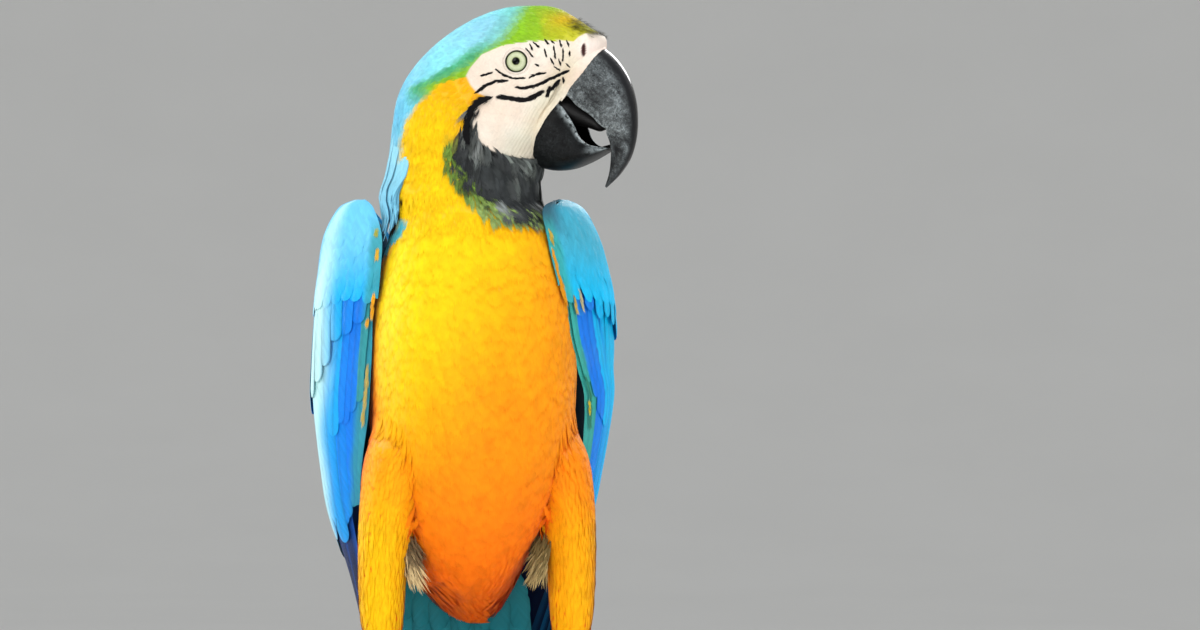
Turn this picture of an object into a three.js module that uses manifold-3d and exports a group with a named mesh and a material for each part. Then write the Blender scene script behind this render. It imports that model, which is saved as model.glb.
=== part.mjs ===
// A life-size blue-and-yellow macaw, perched upright on a cut branch that a display stand carries.
// Millimetres, +Z up. The chest faces -Y and the bird's left side is +X.
// The origin is the centre of the stand's underside.
import * as THREE from "three";
import { mergeVertices } from "three/addons/utils/BufferGeometryUtils.js";
import Module from "manifold-3d";

const wasm = await Module();
wasm.setup();

// ---------------------------------------------------------------- driving dimensions
const GAP = 0.3; // clearance between neighbouring pieces
const SECTION_SIDES = 28; // corners of a horizontal section of the body
const SECTION_POWER = 2.15; // 2 is an ellipse, more is boxier

const PERCH = { topZ: 471, radius: 22, length: 240, bend: 2.5, knot: 1.6 };
const BASE = { radius: 155, height: 18, chamfer: 2.5 };
const ROD = { radius: 5, spread: 88 };

const HEAD_TURN = 65; // degrees from the chest's direction towards the bird's left
const HEAD_PIVOT = new THREE.Vector2(3.5, -3);
const NECK_CUT_Z = 699;
const HEAD_CUT_Z = 731;

// Horizontal sections of the torso: front and back are the chest's and the back's Y.
const TORSO = [
  { z: 499, front: 30, back: 56, half: 15 },
  { z: 506, front: 14, back: 60, half: 20 },
  { z: 516, front: -7, back: 62, half: 24 },
  { z: 530, front: -27, back: 63, half: 29 },
  { z: 548, front: -43, back: 63.5, half: 36 },
  { z: 570, front: -54, back: 63, half: 45 },
  { z: 598, front: -61, back: 61, half: 51 },
  { z: 630, front: -63, back: 58, half: 52.5 },
  { z: 660, front: -59, back: 54, half: 51 },
  { z: 682, front: -51, back: 48, half: 46.5 },
  { z: 699, front: -45, back: 42, half: 42 },
];

// Horizontal sections of the upper neck and head: aft and fore are measured along the bill's
// direction from the pivot, half is the half width.
const HEAD = [
  { z: 714, aft: -49, fore: 30, half: 37 },
  { z: 724, aft: -47.9, fore: 31.5, half: 33.5 },
  { z: 733, aft: -47.2, fore: 33, half: 31 },
  { z: 744, aft: -46, fore: 37, half: 29.5 },
  { z: 755, aft: -44.7, fore: 42, half: 29 },
  { z: 766, aft: -42, fore: 49, half: 28.5 },
  { z: 776, aft: -36.5, fore: 57, half: 27.5 },
  { z: 785, aft: -29, fore: 63, half: 25.8 },
  { z: 793, aft: -20, fore: 64, half: 23 },
  { z: 800, aft: -9.5, fore: 55, half: 18.8 },
  { z: 805.5, aft: 2, fore: 46.5, half: 13.6 },
  { z: 809, aft: 14, fore: 38.5, half: 7.2 },
  { z: 810, aft: 28, fore: 28, half: 0 },
];

const EYE = { z: 782, along: 25.3, ball: 7, socket: 7.9, lid: 5.9, lidWire: 1.15, proud: 1.3 };
const NOSTRIL = { z: 787.5, along: 53, radius: 1.7 };

// The upper bill from its base to its hooked tip: the culmen's and the cutting edge's place
// along the bill's direction and height, and the half width between them.
const UPPER_BILL = [
  { ridge: [54, 795], edge: [37, 768], half: 13 },
  { ridge: [65.2, 787], edge: [46.5, 762], half: 14.6 },
  { ridge: [71.6, 781], edge: [52, 756.4], half: 14.2 },
  { ridge: [77, 772.5], edge: [57, 751.6], half: 13.2 },
  { ridge: [80.3, 762], edge: [62, 747.4], half: 11.6 },
  { ridge: [81.3, 752], edge: [66.2, 744.8], half: 9.6 },
  { ridge: [80.7, 742.5], edge: [68.6, 739.5], half: 7.4 },
  { ridge: [78, 733], edge: [68.8, 732], half: 5.4 },
  { ridge: [72.6, 724.8], edge: [67.4, 725], half: 3.2 },
  { ridge: [65.6, 718.2], edge: [64.8, 718.8], half: 0.5 },
];

// The lower bill from its root in the cheek to its chisel tip: keel, cutting edge, half width.
const LOWER_BILL = [
  { keel: [20, 736], edge: [37, 762], half: 14 },
  { keel: [27.5, 730.5], edge: [43, 759.6], half: 16.2 },
  { keel: [34, 727.8], edge: [46.8, 754.5], half: 16.4 },
  { keel: [41, 726.8], edge: [49.8, 748.6], half: 16 },
  { keel: [49, 727.6], edge: [52.6, 743], half: 15 },
  { keel: [56.5, 730.4], edge: [57.6, 739.6], half: 13.4 },
  { keel: [62.8, 733.8], edge: [63, 738.4], half: 11.2 },
  { keel: [67, 736.6], edge: [67.6, 737.8], half: 8.6 },
];
const LOWER_BILL_WALL = 2.2;

// The folded wing's outer surface in horizontal sections: leading edge, outermost point and
// trailing edge, each as distance from the midline and Y, and the thickness of flesh and quills.
const WING = [
  { z: 713, lead: [54, 4], bulge: [57, 10], trail: [52, 18], thick: 6 },
  { z: 708, lead: [47, -8], bulge: [65, 8], trail: [46, 32], thick: 16 },
  { z: 695, lead: [44.5, -15], bulge: [72, 14], trail: [34, 48], thick: 20 },
  { z: 662, lead: [49.5, -16], bulge: [76.5, 20], trail: [23, 62], thick: 20 },
  { z: 612, lead: [55.5, -8], bulge: [77.5, 26], trail: [16, 70], thick: 15 },
  { z: 577, lead: [58.5, 4], bulge: [72.5, 32], trail: [12.5, 72], thick: 12 },
  { z: 553, lead: [57, 13], bulge: [67.5, 35], trail: [11, 72.5], thick: 10 },
  { z: 512, lead: [51, 30], bulge: [53.5, 49], trail: [9, 73], thick: 8 },
  { z: 450, lead: [40, 49], bulge: [38, 61], trail: [8, 75], thick: 6 },
  { z: 400, lead: [29, 62], bulge: [27, 69], trail: [9, 78], thick: 4 },
  { z: 350, lead: [17, 74], bulge: [17, 77], trail: [11, 80], thick: 2 },
];

// The wing's core of flesh ends at its low end, under the secondaries, and its outer face lies
// deeper the lower it is, to leave room for the tiers of vanes over it.
const WING_CORE = { lowZ: 584, topDepth: 1.4, lowDepth: 6.5 };

const COVERT_LOOSENESS = 1.2; // most that a small covert's tip strays in height

// Tiers of wing vanes, from the deepest to the outermost. A pair of numbers runs from the first
// vane, at the leading edge, to the last, at the trailing edge. For each vane: the height and
// place across the wing of its root and tip, its half width, and how deep its tip lies under the
// wing's surface.
const WING_TIERS = {
  primaries: {
    count: 9,
    half: [8.5, 10.5],
    tipDepth: 1.6,
    rootZ: [602, 598],
    rootV: [0.14, 0.8],
    tipZ: [384, 364, 355, 359, 380, 410, 442, 474, 504],
    tipV: [0.12, 0.32, 0.48, 0.62, 0.72, 0.79, 0.85, 0.89, 0.92],
  },
  secondaries: {
    count: 8,
    half: [9.5, 11],
    tipDepth: 1.2,
    rootZ: [655, 636],
    rootV: [0.13, 0.88],
    tipZ: [568, 557, 549, 543, 538, 533, 528, 524],
    tipV: [0.09, 0.2, 0.32, 0.45, 0.57, 0.69, 0.81, 0.93],
  },
  primary_coverts: {
    count: 3,
    half: [5.2, 6],
    tipDepth: 0.6,
    rootZ: [660, 652],
    rootV: [0.05, 0.2],
    tipZ: [597, 591, 600],
    tipV: [0.04, 0.11, 0.19],
  },
  greater_coverts: {
    loose: COVERT_LOOSENESS,
    count: 6,
    half: [9.5, 10.5],
    tipDepth: 0.4,
    rootZ: [678, 655],
    rootV: [0.14, 0.9],
    tipZ: [632, 604],
    tipV: [0.13, 0.92],
  },
  median_coverts: {
    loose: COVERT_LOOSENESS,
    count: 6,
    half: [9.2, 10],
    tipDepth: 0.2,
    rootZ: [692, 676],
    rootV: [0.08, 0.9],
    tipZ: [660, 636],
    tipV: [0.06, 0.92],
  },
  lesser_coverts: {
    loose: COVERT_LOOSENESS,
    count: 5,
    half: [9.4, 10],
    tipDepth: 0.1,
    rootZ: [702, 692],
    rootV: [0.1, 0.88],
    tipZ: [681, 660],
    tipV: [0.08, 0.9],
  },
  marginal_coverts: {
    loose: COVERT_LOOSENESS,
    count: 4,
    half: [8.6, 9],
    tipDepth: 0,
    rootZ: [707, 704],
    rootV: [0.16, 0.82],
    tipZ: [697, 682],
    tipV: [0.14, 0.86],
  },
};
const WING_VANE = { thick: 0.7, camber: 0.25, clearance: 0.8, rootSink: 1.4 };
const VANE_PITCH = 42; // height between the rows of points that neighbouring long vanes share
// The leg's feathered part in horizontal sections. The stance is how much further out than that
// each leg is at its foot.
const STANCE = { left: 5, right: 0 };
const LEG = [
  { z: 492, x: 45, y: 0, wide: 9, deep: 9.5 },
  { z: 500, x: 45.5, y: -1, wide: 11.4, deep: 12.5 },
  { z: 518, x: 46, y: -3.5, wide: 12.8, deep: 15.5 },
  { z: 540, x: 45.5, y: -7, wide: 14, deep: 19 },
  { z: 562, x: 43.5, y: -11, wide: 15.5, deep: 23 },
  { z: 585, x: 38, y: -12, wide: 18.5, deep: 25 },
  { z: 606, x: 30, y: -10, wide: 18, deep: 22 },
];

// The tail hangs from its root with a steady backward lean: 6 pairs of vanes, the longest pair
// uppermost, which is towards +Y, and soft coverts above and below their roots.
const TAIL = { rootZ: 506, rootY: 47, lean: 0.122, arch: 0.004 };
const TAIL_CORE = { lowZ: 478, half: 20, thick: 16.5 };
const TAIL_PAIRS = [
  { tipZ: 36, aside: 3.5, half: 14 },
  { tipZ: 66, aside: 6.5, half: 13.5 },
  { tipZ: 112, aside: 9.5, half: 13 },
  { tipZ: 168, aside: 12, half: 12.5 },
  { tipZ: 226, aside: 14.5, half: 12 },
  { tipZ: 282, aside: 17, half: 11.5 },
];
const TAIL_VANE = { thick: 0.8, clearance: 0.4, rootZ: 498, narrow: 0.55 };
// A tail vane tapers to a point: shares of its length, and its width there beside its widest.
const TAIL_TAPER = [
  { u: 0, wide: 0.55 },
  { u: 0.3, wide: 1 },
  { u: 0.68, wide: 0.84 },
  { u: 0.9, wide: 0.42 },
  { u: 1, wide: 0.1 },
];
const TAIL_COVERTS = [
  { face: 1, rootZ: 500, tipZ: [432, 446, 462], aside: [0, 9.5, 18], half: 8.5 },
  { face: -1, rootZ: 496, tipZ: [414, 428, 446], aside: [0, 9.5, 18], half: 9 },
];

const SHIN = { x: 44.5, radius: 4.6, top: 491.5 };
const TOE = { radius: 4.1, swell: 1.1, sides: 7, steps: 6 };
const CLAW = { length: 15, radius: 2.3, sides: 6, steps: 4 };
// Each toe: its arc over the branch in degrees, plus forwards and minus backwards, how far its
// tip strays sideways (plus is away from the midline), and its thickness beside the longest.
const TOES = [
  { name: "inner_front", arc: 92, stray: -13, size: 0.94 },
  { name: "outer_front", arc: 106, stray: 5, size: 1 },
  { name: "outer_back", arc: -98, stray: 14, size: 0.96 },
  { name: "inner_back", arc: -76, stray: -8, size: 0.88 },
];

// ---------------------------------------------------------------- solids and meshes
// The manifold of a closed geometry, whichever way its faces are wound.
function solidOf(geometry) {
  const bare = geometry.clone();
  bare.deleteAttribute("normal");
  bare.deleteAttribute("uv");
  const merged = mergeVertices(bare, 1e-4);
  const make = (triVerts) =>
    new wasm.Manifold(
      new wasm.Mesh({
        numProp: 3,
        vertProperties: merged.attributes.position.array,
        triVerts,
      }),
    );
  const faces = new Uint32Array(merged.index.array);
  const made = make(faces);
  if (made.volume() > 0) return made;
  for (let i = 0; i < faces.length; i += 3) {
    [faces[i + 1], faces[i + 2]] = [faces[i + 2], faces[i + 1]];
  }
  return make(faces);
}

// The largest closed body of a solid.
function largest(solid) {
  return solid.decompose().reduce((a, b) => (b.volume() > a.volume() ? b : a));
}

const macaw = new THREE.Group();

function addMesh(name, solid, material) {
  const { numProp, numVert, vertProperties, triVerts } = largest(solid).getMesh();
  const place = new Float32Array(numVert * 3);
  for (let i = 0; i < numVert; i++) {
    place.set(vertProperties.subarray(i * numProp, i * numProp + 3), i * 3);
  }
  const geometry = new THREE.BufferGeometry();
  geometry.setAttribute("position", new THREE.BufferAttribute(place, 3));
  geometry.setIndex(new THREE.BufferAttribute(triVerts, 1));
  geometry.computeVertexNormals();
  const mesh = new THREE.Mesh(geometry, material);
  mesh.name = name;
  macaw.add(mesh);
}

function finish(color, roughness, metalness = 0) {
  return new THREE.MeshStandardMaterial({ color, roughness, metalness });
}

// A closed surface through rings of equal numbers of points, with a fan on each end.
function loft(rings) {
  const sides = rings[0].length;
  const points = rings.flat();
  const faces = [];
  for (let i = 0; i + 1 < rings.length; i++) {
    for (let j = 0; j < sides; j++) {
      const k = (j + 1) % sides;
      const [a, b] = [i * sides + j, i * sides + k];
      faces.push(a, b, b + sides, a, b + sides, a + sides);
    }
  }
  for (const [start, flip] of [
    [0, true],
    [(rings.length - 1) * sides, false],
  ]) {
    const middle = points.length;
    const centre = new THREE.Vector3();
    for (let j = 0; j < sides; j++) centre.add(points[start + j]);
    points.push(centre.divideScalar(sides));
    for (let j = 0; j < sides; j++) {
      const edge = [start + j, start + ((j + 1) % sides)];
      if (flip) edge.reverse();
      faces.push(...edge, middle);
    }
  }
  return new THREE.BufferGeometry().setFromPoints(points).setIndex(faces);
}

// A thin closed plate. The grid is its upper face, row by row, and each of its points has a
// lower twin: { upper, lower }. Both faces are split into triangles alike.
function plate(grid) {
  const [rows, columns] = [grid.length, grid[0].length];
  const count = rows * columns;
  const points = [...grid.flat().map((p) => p.upper), ...grid.flat().map((p) => p.lower)];
  const faces = [];
  for (let i = 0; i + 1 < rows; i++) {
    for (let j = 0; j + 1 < columns; j++) {
      const a = i * columns + j;
      const [b, c, d] = [a + 1, a + columns + 1, a + columns];
      faces.push(a, b, c, a, c, d);
      faces.push(a + count, c + count, b + count, a + count, d + count, c + count);
    }
  }
  const rim = [];
  for (let j = 0; j + 1 < columns; j++) rim.push(j);
  for (let i = 0; i + 1 < rows; i++) rim.push(i * columns + columns - 1);
  for (let j = columns - 1; j > 0; j--) rim.push((rows - 1) * columns + j);
  for (let i = rows - 1; i > 0; i--) rim.push(i * columns);
  rim.forEach((a, k) => {
    const b = rim[(k + 1) % rim.length];
    faces.push(a, a + count, b + count, a, b + count, b);
  });
  return solidOf(new THREE.BufferGeometry().setFromPoints(points).setIndex(faces));
}

// How wide and thick a vane is at share u of its length, beside its widest and its thickest.
function vaneAt(u) {
  const swell = 0.45 + 0.55 * Math.sin(Math.min(u / 0.45, 1) * (Math.PI / 2));
  const round = Math.sqrt(Math.max(1 - Math.max((u - 0.72) / 0.285, 0) ** 2.4, 0));
  return { u, wide: swell * Math.max(round, 0.3), thick: 1 - 0.35 * u ** 3 };
}

// The rows of a vane between two heights. A long vane has rows at the same heights as its
// neighbours, a pitch apart, so that their faces lie parallel.
function vaneRows(rootZ, tipZ, pitch) {
  const shares = [0];
  for (let z = Math.floor(rootZ / pitch) * pitch; z > tipZ; z -= pitch) {
    const u = (rootZ - z) / (rootZ - tipZ);
    if (u > 0.1 && u < 0.84) shares.push(u);
  }
  if (shares.length < 2) return [0, 0.4, 0.87, 1].map(vaneAt);
  return [...shares, 0.93, 1].map(vaneAt);
}

// A repeatable run of numbers from 0 to 1.
function seeded(seed) {
  let state = seed;
  return () => {
    state = (state * 1664525 + 1013904223) % 4294967296;
    return state / 4294967296;
  };
}

// ---------------------------------------------------------------- smooth tables
// A smooth value at place t, counted in rows, in a list of numbers.
function smooth(values, t) {
  const last = values.length - 1;
  const i = Math.min(Math.max(Math.floor(t), 0), last - 1);
  const u = t - i;
  const at = (k) => values[Math.min(Math.max(k, 0), last)];
  const slope = (k) => (at(k + 1) - at(k - 1)) / (k === 0 || k === last ? 1 : 2);
  const [p, q] = [at(i), at(i + 1)];
  const [m, n] = [slope(i), slope(i + 1)];
  const [u2, u3] = [u * u, u * u * u];
  return (2 * u3 - 3 * u2 + 1) * p + (u3 - 2 * u2 + u) * m + (3 * u2 - 2 * u3) * q + (u3 - u2) * n;
}

// The row place at which a rising or falling column reaches a value.
function rowAt(values, wanted) {
  const rising = values[values.length - 1] > values[0];
  let [low, high] = [0, values.length - 1];
  for (let k = 0; k < 40; k++) {
    const middle = (low + high) / 2;
    if (smooth(values, middle) < wanted === rising) low = middle;
    else high = middle;
  }
  return (low + high) / 2;
}

// ---------------------------------------------------------------- the body's form
const turn = THREE.MathUtils.degToRad(HEAD_TURN);
const FORE = new THREE.Vector3(Math.sin(turn), -Math.cos(turn), 0);
const SIDE = new THREE.Vector3(-Math.cos(turn), -Math.sin(turn), 0); // the head's right

// A place on or beside the head: along the bill's direction, height, and to the head's right.
function headPoint(along, z, right = 0) {
  return new THREE.Vector3(HEAD_PIVOT.x, HEAD_PIVOT.y, z)
    .addScaledVector(FORE, along)
    .addScaledVector(SIDE, right);
}

const TRUNK = [
  ...TORSO.map((row) => ({
    z: row.z,
    x: 0,
    y: (row.front + row.back) / 2,
    yaw: 0,
    fore: (row.back - row.front) / 2,
    half: row.half,
  })),
  ...HEAD.map((row) => {
    const middle = headPoint((row.aft + row.fore) / 2, row.z);
    return {
      z: row.z,
      x: middle.x,
      y: middle.y,
      yaw: turn,
      fore: (row.fore - row.aft) / 2,
      half: row.half,
    };
  }),
];
const trunkColumn = (key) => TRUNK.map((row) => row[key]);
const COLUMNS = Object.fromEntries(Object.keys(TRUNK[0]).map((k) => [k, trunkColumn(k)]));

// The point of the body's surface at a row place and a compass angle, grown by some millimetres.
// The angle is 0 at the chest's direction and rises towards the bird's left.
function trunkPoint(t, angle, grow = 0) {
  const at = (key) => smooth(COLUMNS[key], t);
  const local = angle - at("yaw");
  const reach = (size) => Math.max(size, 0.01) + grow;
  const radius =
    (Math.abs(Math.cos(local) / reach(at("fore"))) ** SECTION_POWER +
      Math.abs(Math.sin(local) / reach(at("half"))) ** SECTION_POWER) **
    (-1 / SECTION_POWER);
  return new THREE.Vector3(
    at("x") + radius * Math.sin(angle),
    at("y") - radius * Math.cos(angle),
    at("z"),
  );
}

// The whole body from tail root to crown as one solid.
function trunk(grow = 0) {
  const rings = [];
  const last = TRUNK.length - 1;
  const places = [];
  for (let i = 0; i < last; i++) {
    places.push(i);
    if (i > last - 3) places.push(i + 0.5);
  }
  places.push(last - 0.15);
  for (const t of places) {
    const lift = t < 1 ? -grow : t > last - 3 ? grow : 0;
    const ring = [];
    for (let j = 0; j < SECTION_SIDES; j++) {
      const point = trunkPoint(t, (2 * Math.PI * j) / SECTION_SIDES, grow);
      point.z += lift;
      ring.push(point);
    }
    rings.push(ring);
  }
  return solidOf(loft(rings));
}

// A box between two heights, wide enough for the whole bird.
function layer(low, high) {
  const box = new THREE.BoxGeometry(600, 600, high - low);
  box.translate(0, 0, (low + high) / 2);
  return solidOf(box);
}

function ball(centre, radius, wide = 12, high = 8) {
  const sphere = new THREE.SphereGeometry(radius, wide, high);
  sphere.translate(centre.x, centre.y, centre.z);
  return solidOf(sphere);
}

// The head's surface point and outward normal where a level line at a height, at a place along
// the bill's direction, meets the right (sign 1) or left (sign -1) cheek.
function cheek(along, z, sign) {
  const t = rowAt(COLUMNS.z, z);
  const centre = new THREE.Vector3(smooth(COLUMNS.x, t), smooth(COLUMNS.y, t), z);
  const offset = headPoint(along, z).sub(centre).dot(FORE);
  let [low, high] = [0, Math.PI];
  const pointAt = (a) => trunkPoint(t, turn - sign * a);
  for (let k = 0; k < 40; k++) {
    const middle = (low + high) / 2;
    if (pointAt(middle).sub(centre).dot(FORE) > offset) low = middle;
    else high = middle;
  }
  const step = 0.02;
  const here = pointAt(low);
  const across = pointAt(low + step).sub(here);
  const up = trunkPoint(t + step, turn - sign * low).sub(here);
  const normal = across.cross(up).normalize();
  if (normal.dot(SIDE) * sign < 0) normal.negate();
  return { point: here, normal };
}

// ---------------------------------------------------------------- bill
// Rings round the line between an upper and a lower curve of a table. The lower half is boxier.
function billRings(rows, upper, lower, sides, inset = 0) {
  const steps = 2 * (rows.length - 1);
  const rings = [];
  for (let i = 0; i <= steps; i++) {
    const t = i / 2;
    const at = (pick) => smooth(rows.map(pick), t);
    const top = [at((r) => r[upper][0]), at((r) => r[upper][1])];
    const low = [at((r) => r[lower][0]), at((r) => r[lower][1])];
    const half = Math.max(at((r) => r.half) - inset, 0.3);
    const ring = [];
    for (let j = 0; j < sides; j++) {
      const a = (2 * Math.PI * j) / sides;
      const share = (1 + Math.cos(a)) / 2;
      const bow = Math.sign(Math.sin(a)) * Math.abs(Math.sin(a)) ** (share > 0.5 ? 1 : 0.55);
      ring.push(
        headPoint(
          low[0] + (top[0] - low[0]) * share,
          low[1] + (top[1] - low[1]) * share,
          half * bow,
        ),
      );
    }
    rings.push(ring);
  }
  return rings;
}

// The space inside the lower bill, open above.
function lowerBillTrough() {
  const rows = LOWER_BILL.slice(0, -1).map((row) => {
    const [kx, kz] = row.keel;
    const [ex, ez] = row.edge;
    const length = Math.hypot(ex - kx, ez - kz);
    const [dx, dz] = [(ex - kx) / length, (ez - kz) / length];
    return {
      keel: [kx + dx * LOWER_BILL_WALL * 1.6, kz + dz * LOWER_BILL_WALL * 1.6],
      edge: [ex + dx * 6, ez + dz * 6],
      half: row.half - LOWER_BILL_WALL,
    };
  });
  return solidOf(loft(billRings(rows, "edge", "keel", 12)));
}

function tongue() {
  const rings = [];
  const rows = [
    [38, 742, 6],
    [44, 741.5, 7.2],
    [50, 740.5, 6.6],
    [55, 740, 5],
    [58, 740.5, 2],
  ];
  for (const [along, z, radius] of rows) {
    const ring = [];
    for (let j = 0; j < 10; j++) {
      const a = (2 * Math.PI * j) / 10;
      ring.push(headPoint(along, z + radius * 0.75 * Math.sin(a), radius * Math.cos(a)));
    }
    rings.push(ring);
  }
  return solidOf(loft(rings));
}

// ---------------------------------------------------------------- wings, legs, tail
// The wing's outer surface: t is the row place down the wing, v goes from the leading edge at 0
// to the trailing edge at 1, in even shares of the way across.
function wingPoint(side, t, v) {
  const [lead, bulge, trail] = ["lead", "bulge", "trail"].map((key) =>
    new THREE.Vector2(...[0, 1].map((k) => smooth(WING.map((r) => r[key][k]), t))),
  );
  const fore = lead.distanceTo(bulge);
  const share = fore / (fore + bulge.distanceTo(trail));
  const place = lead
    .multiplyScalar(((v - share) * (v - 1)) / share)
    .addScaledVector(bulge, (v * (v - 1)) / (share * (share - 1)))
    .addScaledVector(trail, (v * (v - share)) / (1 - share));
  return new THREE.Vector3(side * place.x, place.y, smooth(WING.map((r) => r.z), t));
}

function wingNormal(side, t, v) {
  const step = 0.02;
  const low = Math.min(v, 1 - step);
  const across = wingPoint(side, t, low + step).sub(wingPoint(side, t, low));
  const down = wingPoint(side, t + step, v).sub(wingPoint(side, t - step, v));
  const normal = across.cross(down).normalize();
  return normal.x * side < 0 ? normal.negate() : normal;
}

// How deep the core's outer face lies under the wing's surface at a height.
function coreDepth(z, v) {
  const level = (WING[0].z - z) / (WING[0].z - WING_CORE.lowZ);
  const depth = THREE.MathUtils.lerp(WING_CORE.topDepth, WING_CORE.lowDepth, level);
  return depth * Math.sin(Math.PI * Math.min(Math.max(v, 0.03), 0.97)) ** 0.3;
}

// The core of the wing: the flesh and quills that the vanes are rooted in.
function wingCore(side) {
  const rings = [];
  const columns = 6;
  const place = (j) => 0.03 + (0.94 * j) / (columns - 1);
  for (const level of [0, 0.05, 0.16, 0.5, 1]) {
    const z = THREE.MathUtils.lerp(WING[0].z, WING_CORE.lowZ, level);
    const t = rowAt(WING.map((r) => r.z), z);
    const thick = smooth(WING.map((r) => r.thick), t);
    const under = (v, below) => {
      const normal = wingNormal(side, t, v);
      normal.z = 0;
      return wingPoint(side, t, v).addScaledVector(normal.normalize(), -below);
    };
    const ring = [];
    for (let j = 0; j < columns; j++) ring.push(under(place(j), coreDepth(z, place(j))));
    for (let j = columns - 2; j > 0; j--) {
      const v = place(j);
      ring.push(under(v, Math.max(thick * Math.sqrt(Math.sin(Math.PI * v)), coreDepth(z, v) + 3)));
    }
    rings.push(ring);
  }
  return solidOf(loft(rings));
}

// The value for vane k of a tier: one value, a pair from first to last, or a full list.
function tierValue(list, k, count) {
  if (list.length === count) return list[k];
  return THREE.MathUtils.lerp(list[0], list[1], k / (count - 1));
}

// One vane of a tier. Its rearward edge lies under the next vane's forward edge, so each vane is
// canted about its shaft by the room that its neighbours need.
function wingVane(side, tier, k, stray) {
  const of = (list, index = k) => tierValue(list, index, tier.count);
  const near = [Math.max(k - 1, 0), Math.min(k + 1, tier.count - 1)];
  const vAt = (index, u) => THREE.MathUtils.lerp(of(tier.rootV, index), of(tier.tipV, index), u);
  const [rootZ, tipZ] = [of(tier.rootZ), of(tier.tipZ) + stray];
  const half = of(tier.half);
  const rootDepth = coreDepth(rootZ, of(tier.rootV)) + WING_VANE.rootSink;
  const grid = vaneRows(rootZ, tipZ, VANE_PITCH).map(({ u, wide, thick }) => {
    const t = rowAt(WING.map((r) => r.z), THREE.MathUtils.lerp(rootZ, tipZ, u));
    const v = vAt(k, u);
    const reach = wingPoint(side, t, v + 0.02).distanceTo(wingPoint(side, t, v - 0.02)) / 0.04;
    const spacing = (reach * (vAt(near[1], u) - vAt(near[0], u))) / (near[1] - near[0]);
    const room = WING_VANE.thick + WING_VANE.camber + WING_VANE.clearance;
    const cant = Math.min(room / spacing, 0.5);
    const sunk = THREE.MathUtils.lerp(rootDepth, tier.tipDepth, Math.sin((u * Math.PI) / 2) ** 0.8);
    return [-1, 0, 1].map((c) => {
      const across = c * half * wide;
      const place = Math.min(Math.max(v + across / reach, -0.06), 1.05);
      const normal = wingNormal(side, t, Math.min(Math.max(place, 0), 1));
      const depth = sunk + cant * across - WING_VANE.camber * (1 - c * c);
      const upper = wingPoint(side, t, place).addScaledVector(normal, -depth);
      const lower = upper.clone().addScaledVector(normal, -WING_VANE.thick * thick);
      return { upper, lower };
    });
  });
  return plate(grid);
}

function wing(side, random) {
  const vanes = [];
  for (const tier of Object.values(WING_TIERS)) {
    for (let k = 0; k < tier.count; k++) {
      vanes.push(wingVane(side, tier, k, (tier.loose ?? 0) * (2 * random() - 1)));
    }
  }
  return wasm.Manifold.union([wingCore(side), ...vanes]);
}

// How far out a leg's line is at a height, on a side.
function legAside(side, x, z) {
  const share = (LEG[LEG.length - 1].z - z) / (LEG[LEG.length - 1].z - LEG[0].z);
  const spread = side > 0 ? STANCE.left : STANCE.right;
  return side * (x + spread * Math.min(Math.max(share, 0), 1));
}

function leg(side, grow = 0) {
  const rings = [];
  for (const row of LEG) {
    const ring = [];
    for (let j = 0; j < 14; j++) {
      const a = (2 * Math.PI * j) / 14;
      const x = legAside(side, row.x, row.z) + (row.wide + grow) * Math.cos(a);
      ring.push(new THREE.Vector3(x, row.y + (row.deep + grow) * Math.sin(a), row.z));
    }
    rings.push(ring);
  }
  return solidOf(loft(rings));
}

// A point of the tail some millimetres above (plus) or below its middle layer. The whole tail is
// arched across.
function tailPoint(x, z, lift) {
  return new THREE.Vector3(x, TAIL.rootY + (TAIL.rootZ - z) * TAIL.lean + lift - TAIL.arch * x * x, z);
}

function tailCore() {
  const boxy = (value) => Math.sign(value) * Math.abs(value) ** 0.6;
  const rings = [TAIL.rootZ, TAIL_CORE.lowZ].map((z) => {
    const ring = [];
    for (let j = 0; j < 12; j++) {
      const a = (2 * Math.PI * (j + 0.5)) / 12;
      const x = TAIL_CORE.half * boxy(Math.cos(a));
      ring.push(tailPoint(x, z, (TAIL_CORE.thick / 2) * boxy(Math.sin(a))));
    }
    return ring;
  });
  return solidOf(loft(rings));
}

// A vane that hangs along the tail: aside and lift give its middle at a share of its length.
function tailVane(rootZ, tipZ, half, aside, lift) {
  const grid = TAIL_TAPER.map(({ u, wide }) => {
    const z = THREE.MathUtils.lerp(rootZ, tipZ, u);
    const thick = TAIL_VANE.thick * (1 - 0.35 * u ** 3);
    return [-1, 0, 1].map((c) => {
      const x = aside(u) + c * half * wide;
      return {
        upper: tailPoint(x, z, lift(u)),
        lower: tailPoint(x, z, lift(u) - thick),
      };
    });
  });
  return plate(grid);
}

function tail() {
  const step = TAIL_VANE.thick + TAIL_VANE.clearance;
  const vanes = [];
  TAIL_PAIRS.forEach((pair, k) => {
    for (const side of [1, -1]) {
      const layer = TAIL_PAIRS.length - 2 * k - (side > 0 ? 0 : 1);
      const aside = (u) => side * pair.aside * THREE.MathUtils.lerp(TAIL_VANE.narrow, 1, u);
      vanes.push(tailVane(TAIL_VANE.rootZ, pair.tipZ, pair.half, aside, () => layer * step));
    }
  });
  for (const row of TAIL_COVERTS) {
    row.aside.forEach((aside, k) => {
      for (const side of aside > 0 ? [1, -1] : [1]) {
        const layer = TAIL_PAIRS.length + 1 + row.aside.length - k - (side > 0 ? 0 : 0.5);
        const rise = (u) => THREE.MathUtils.lerp(0.7, 1, Math.sin((u * Math.PI) / 2));
        const lift = (u) => row.face * layer * step * rise(u);
        vanes.push(tailVane(row.rootZ, row.tipZ[k], row.half, () => side * aside, lift));
      }
    });
  }
  return wasm.Manifold.union([tailCore(), ...vanes]);
}

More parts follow.
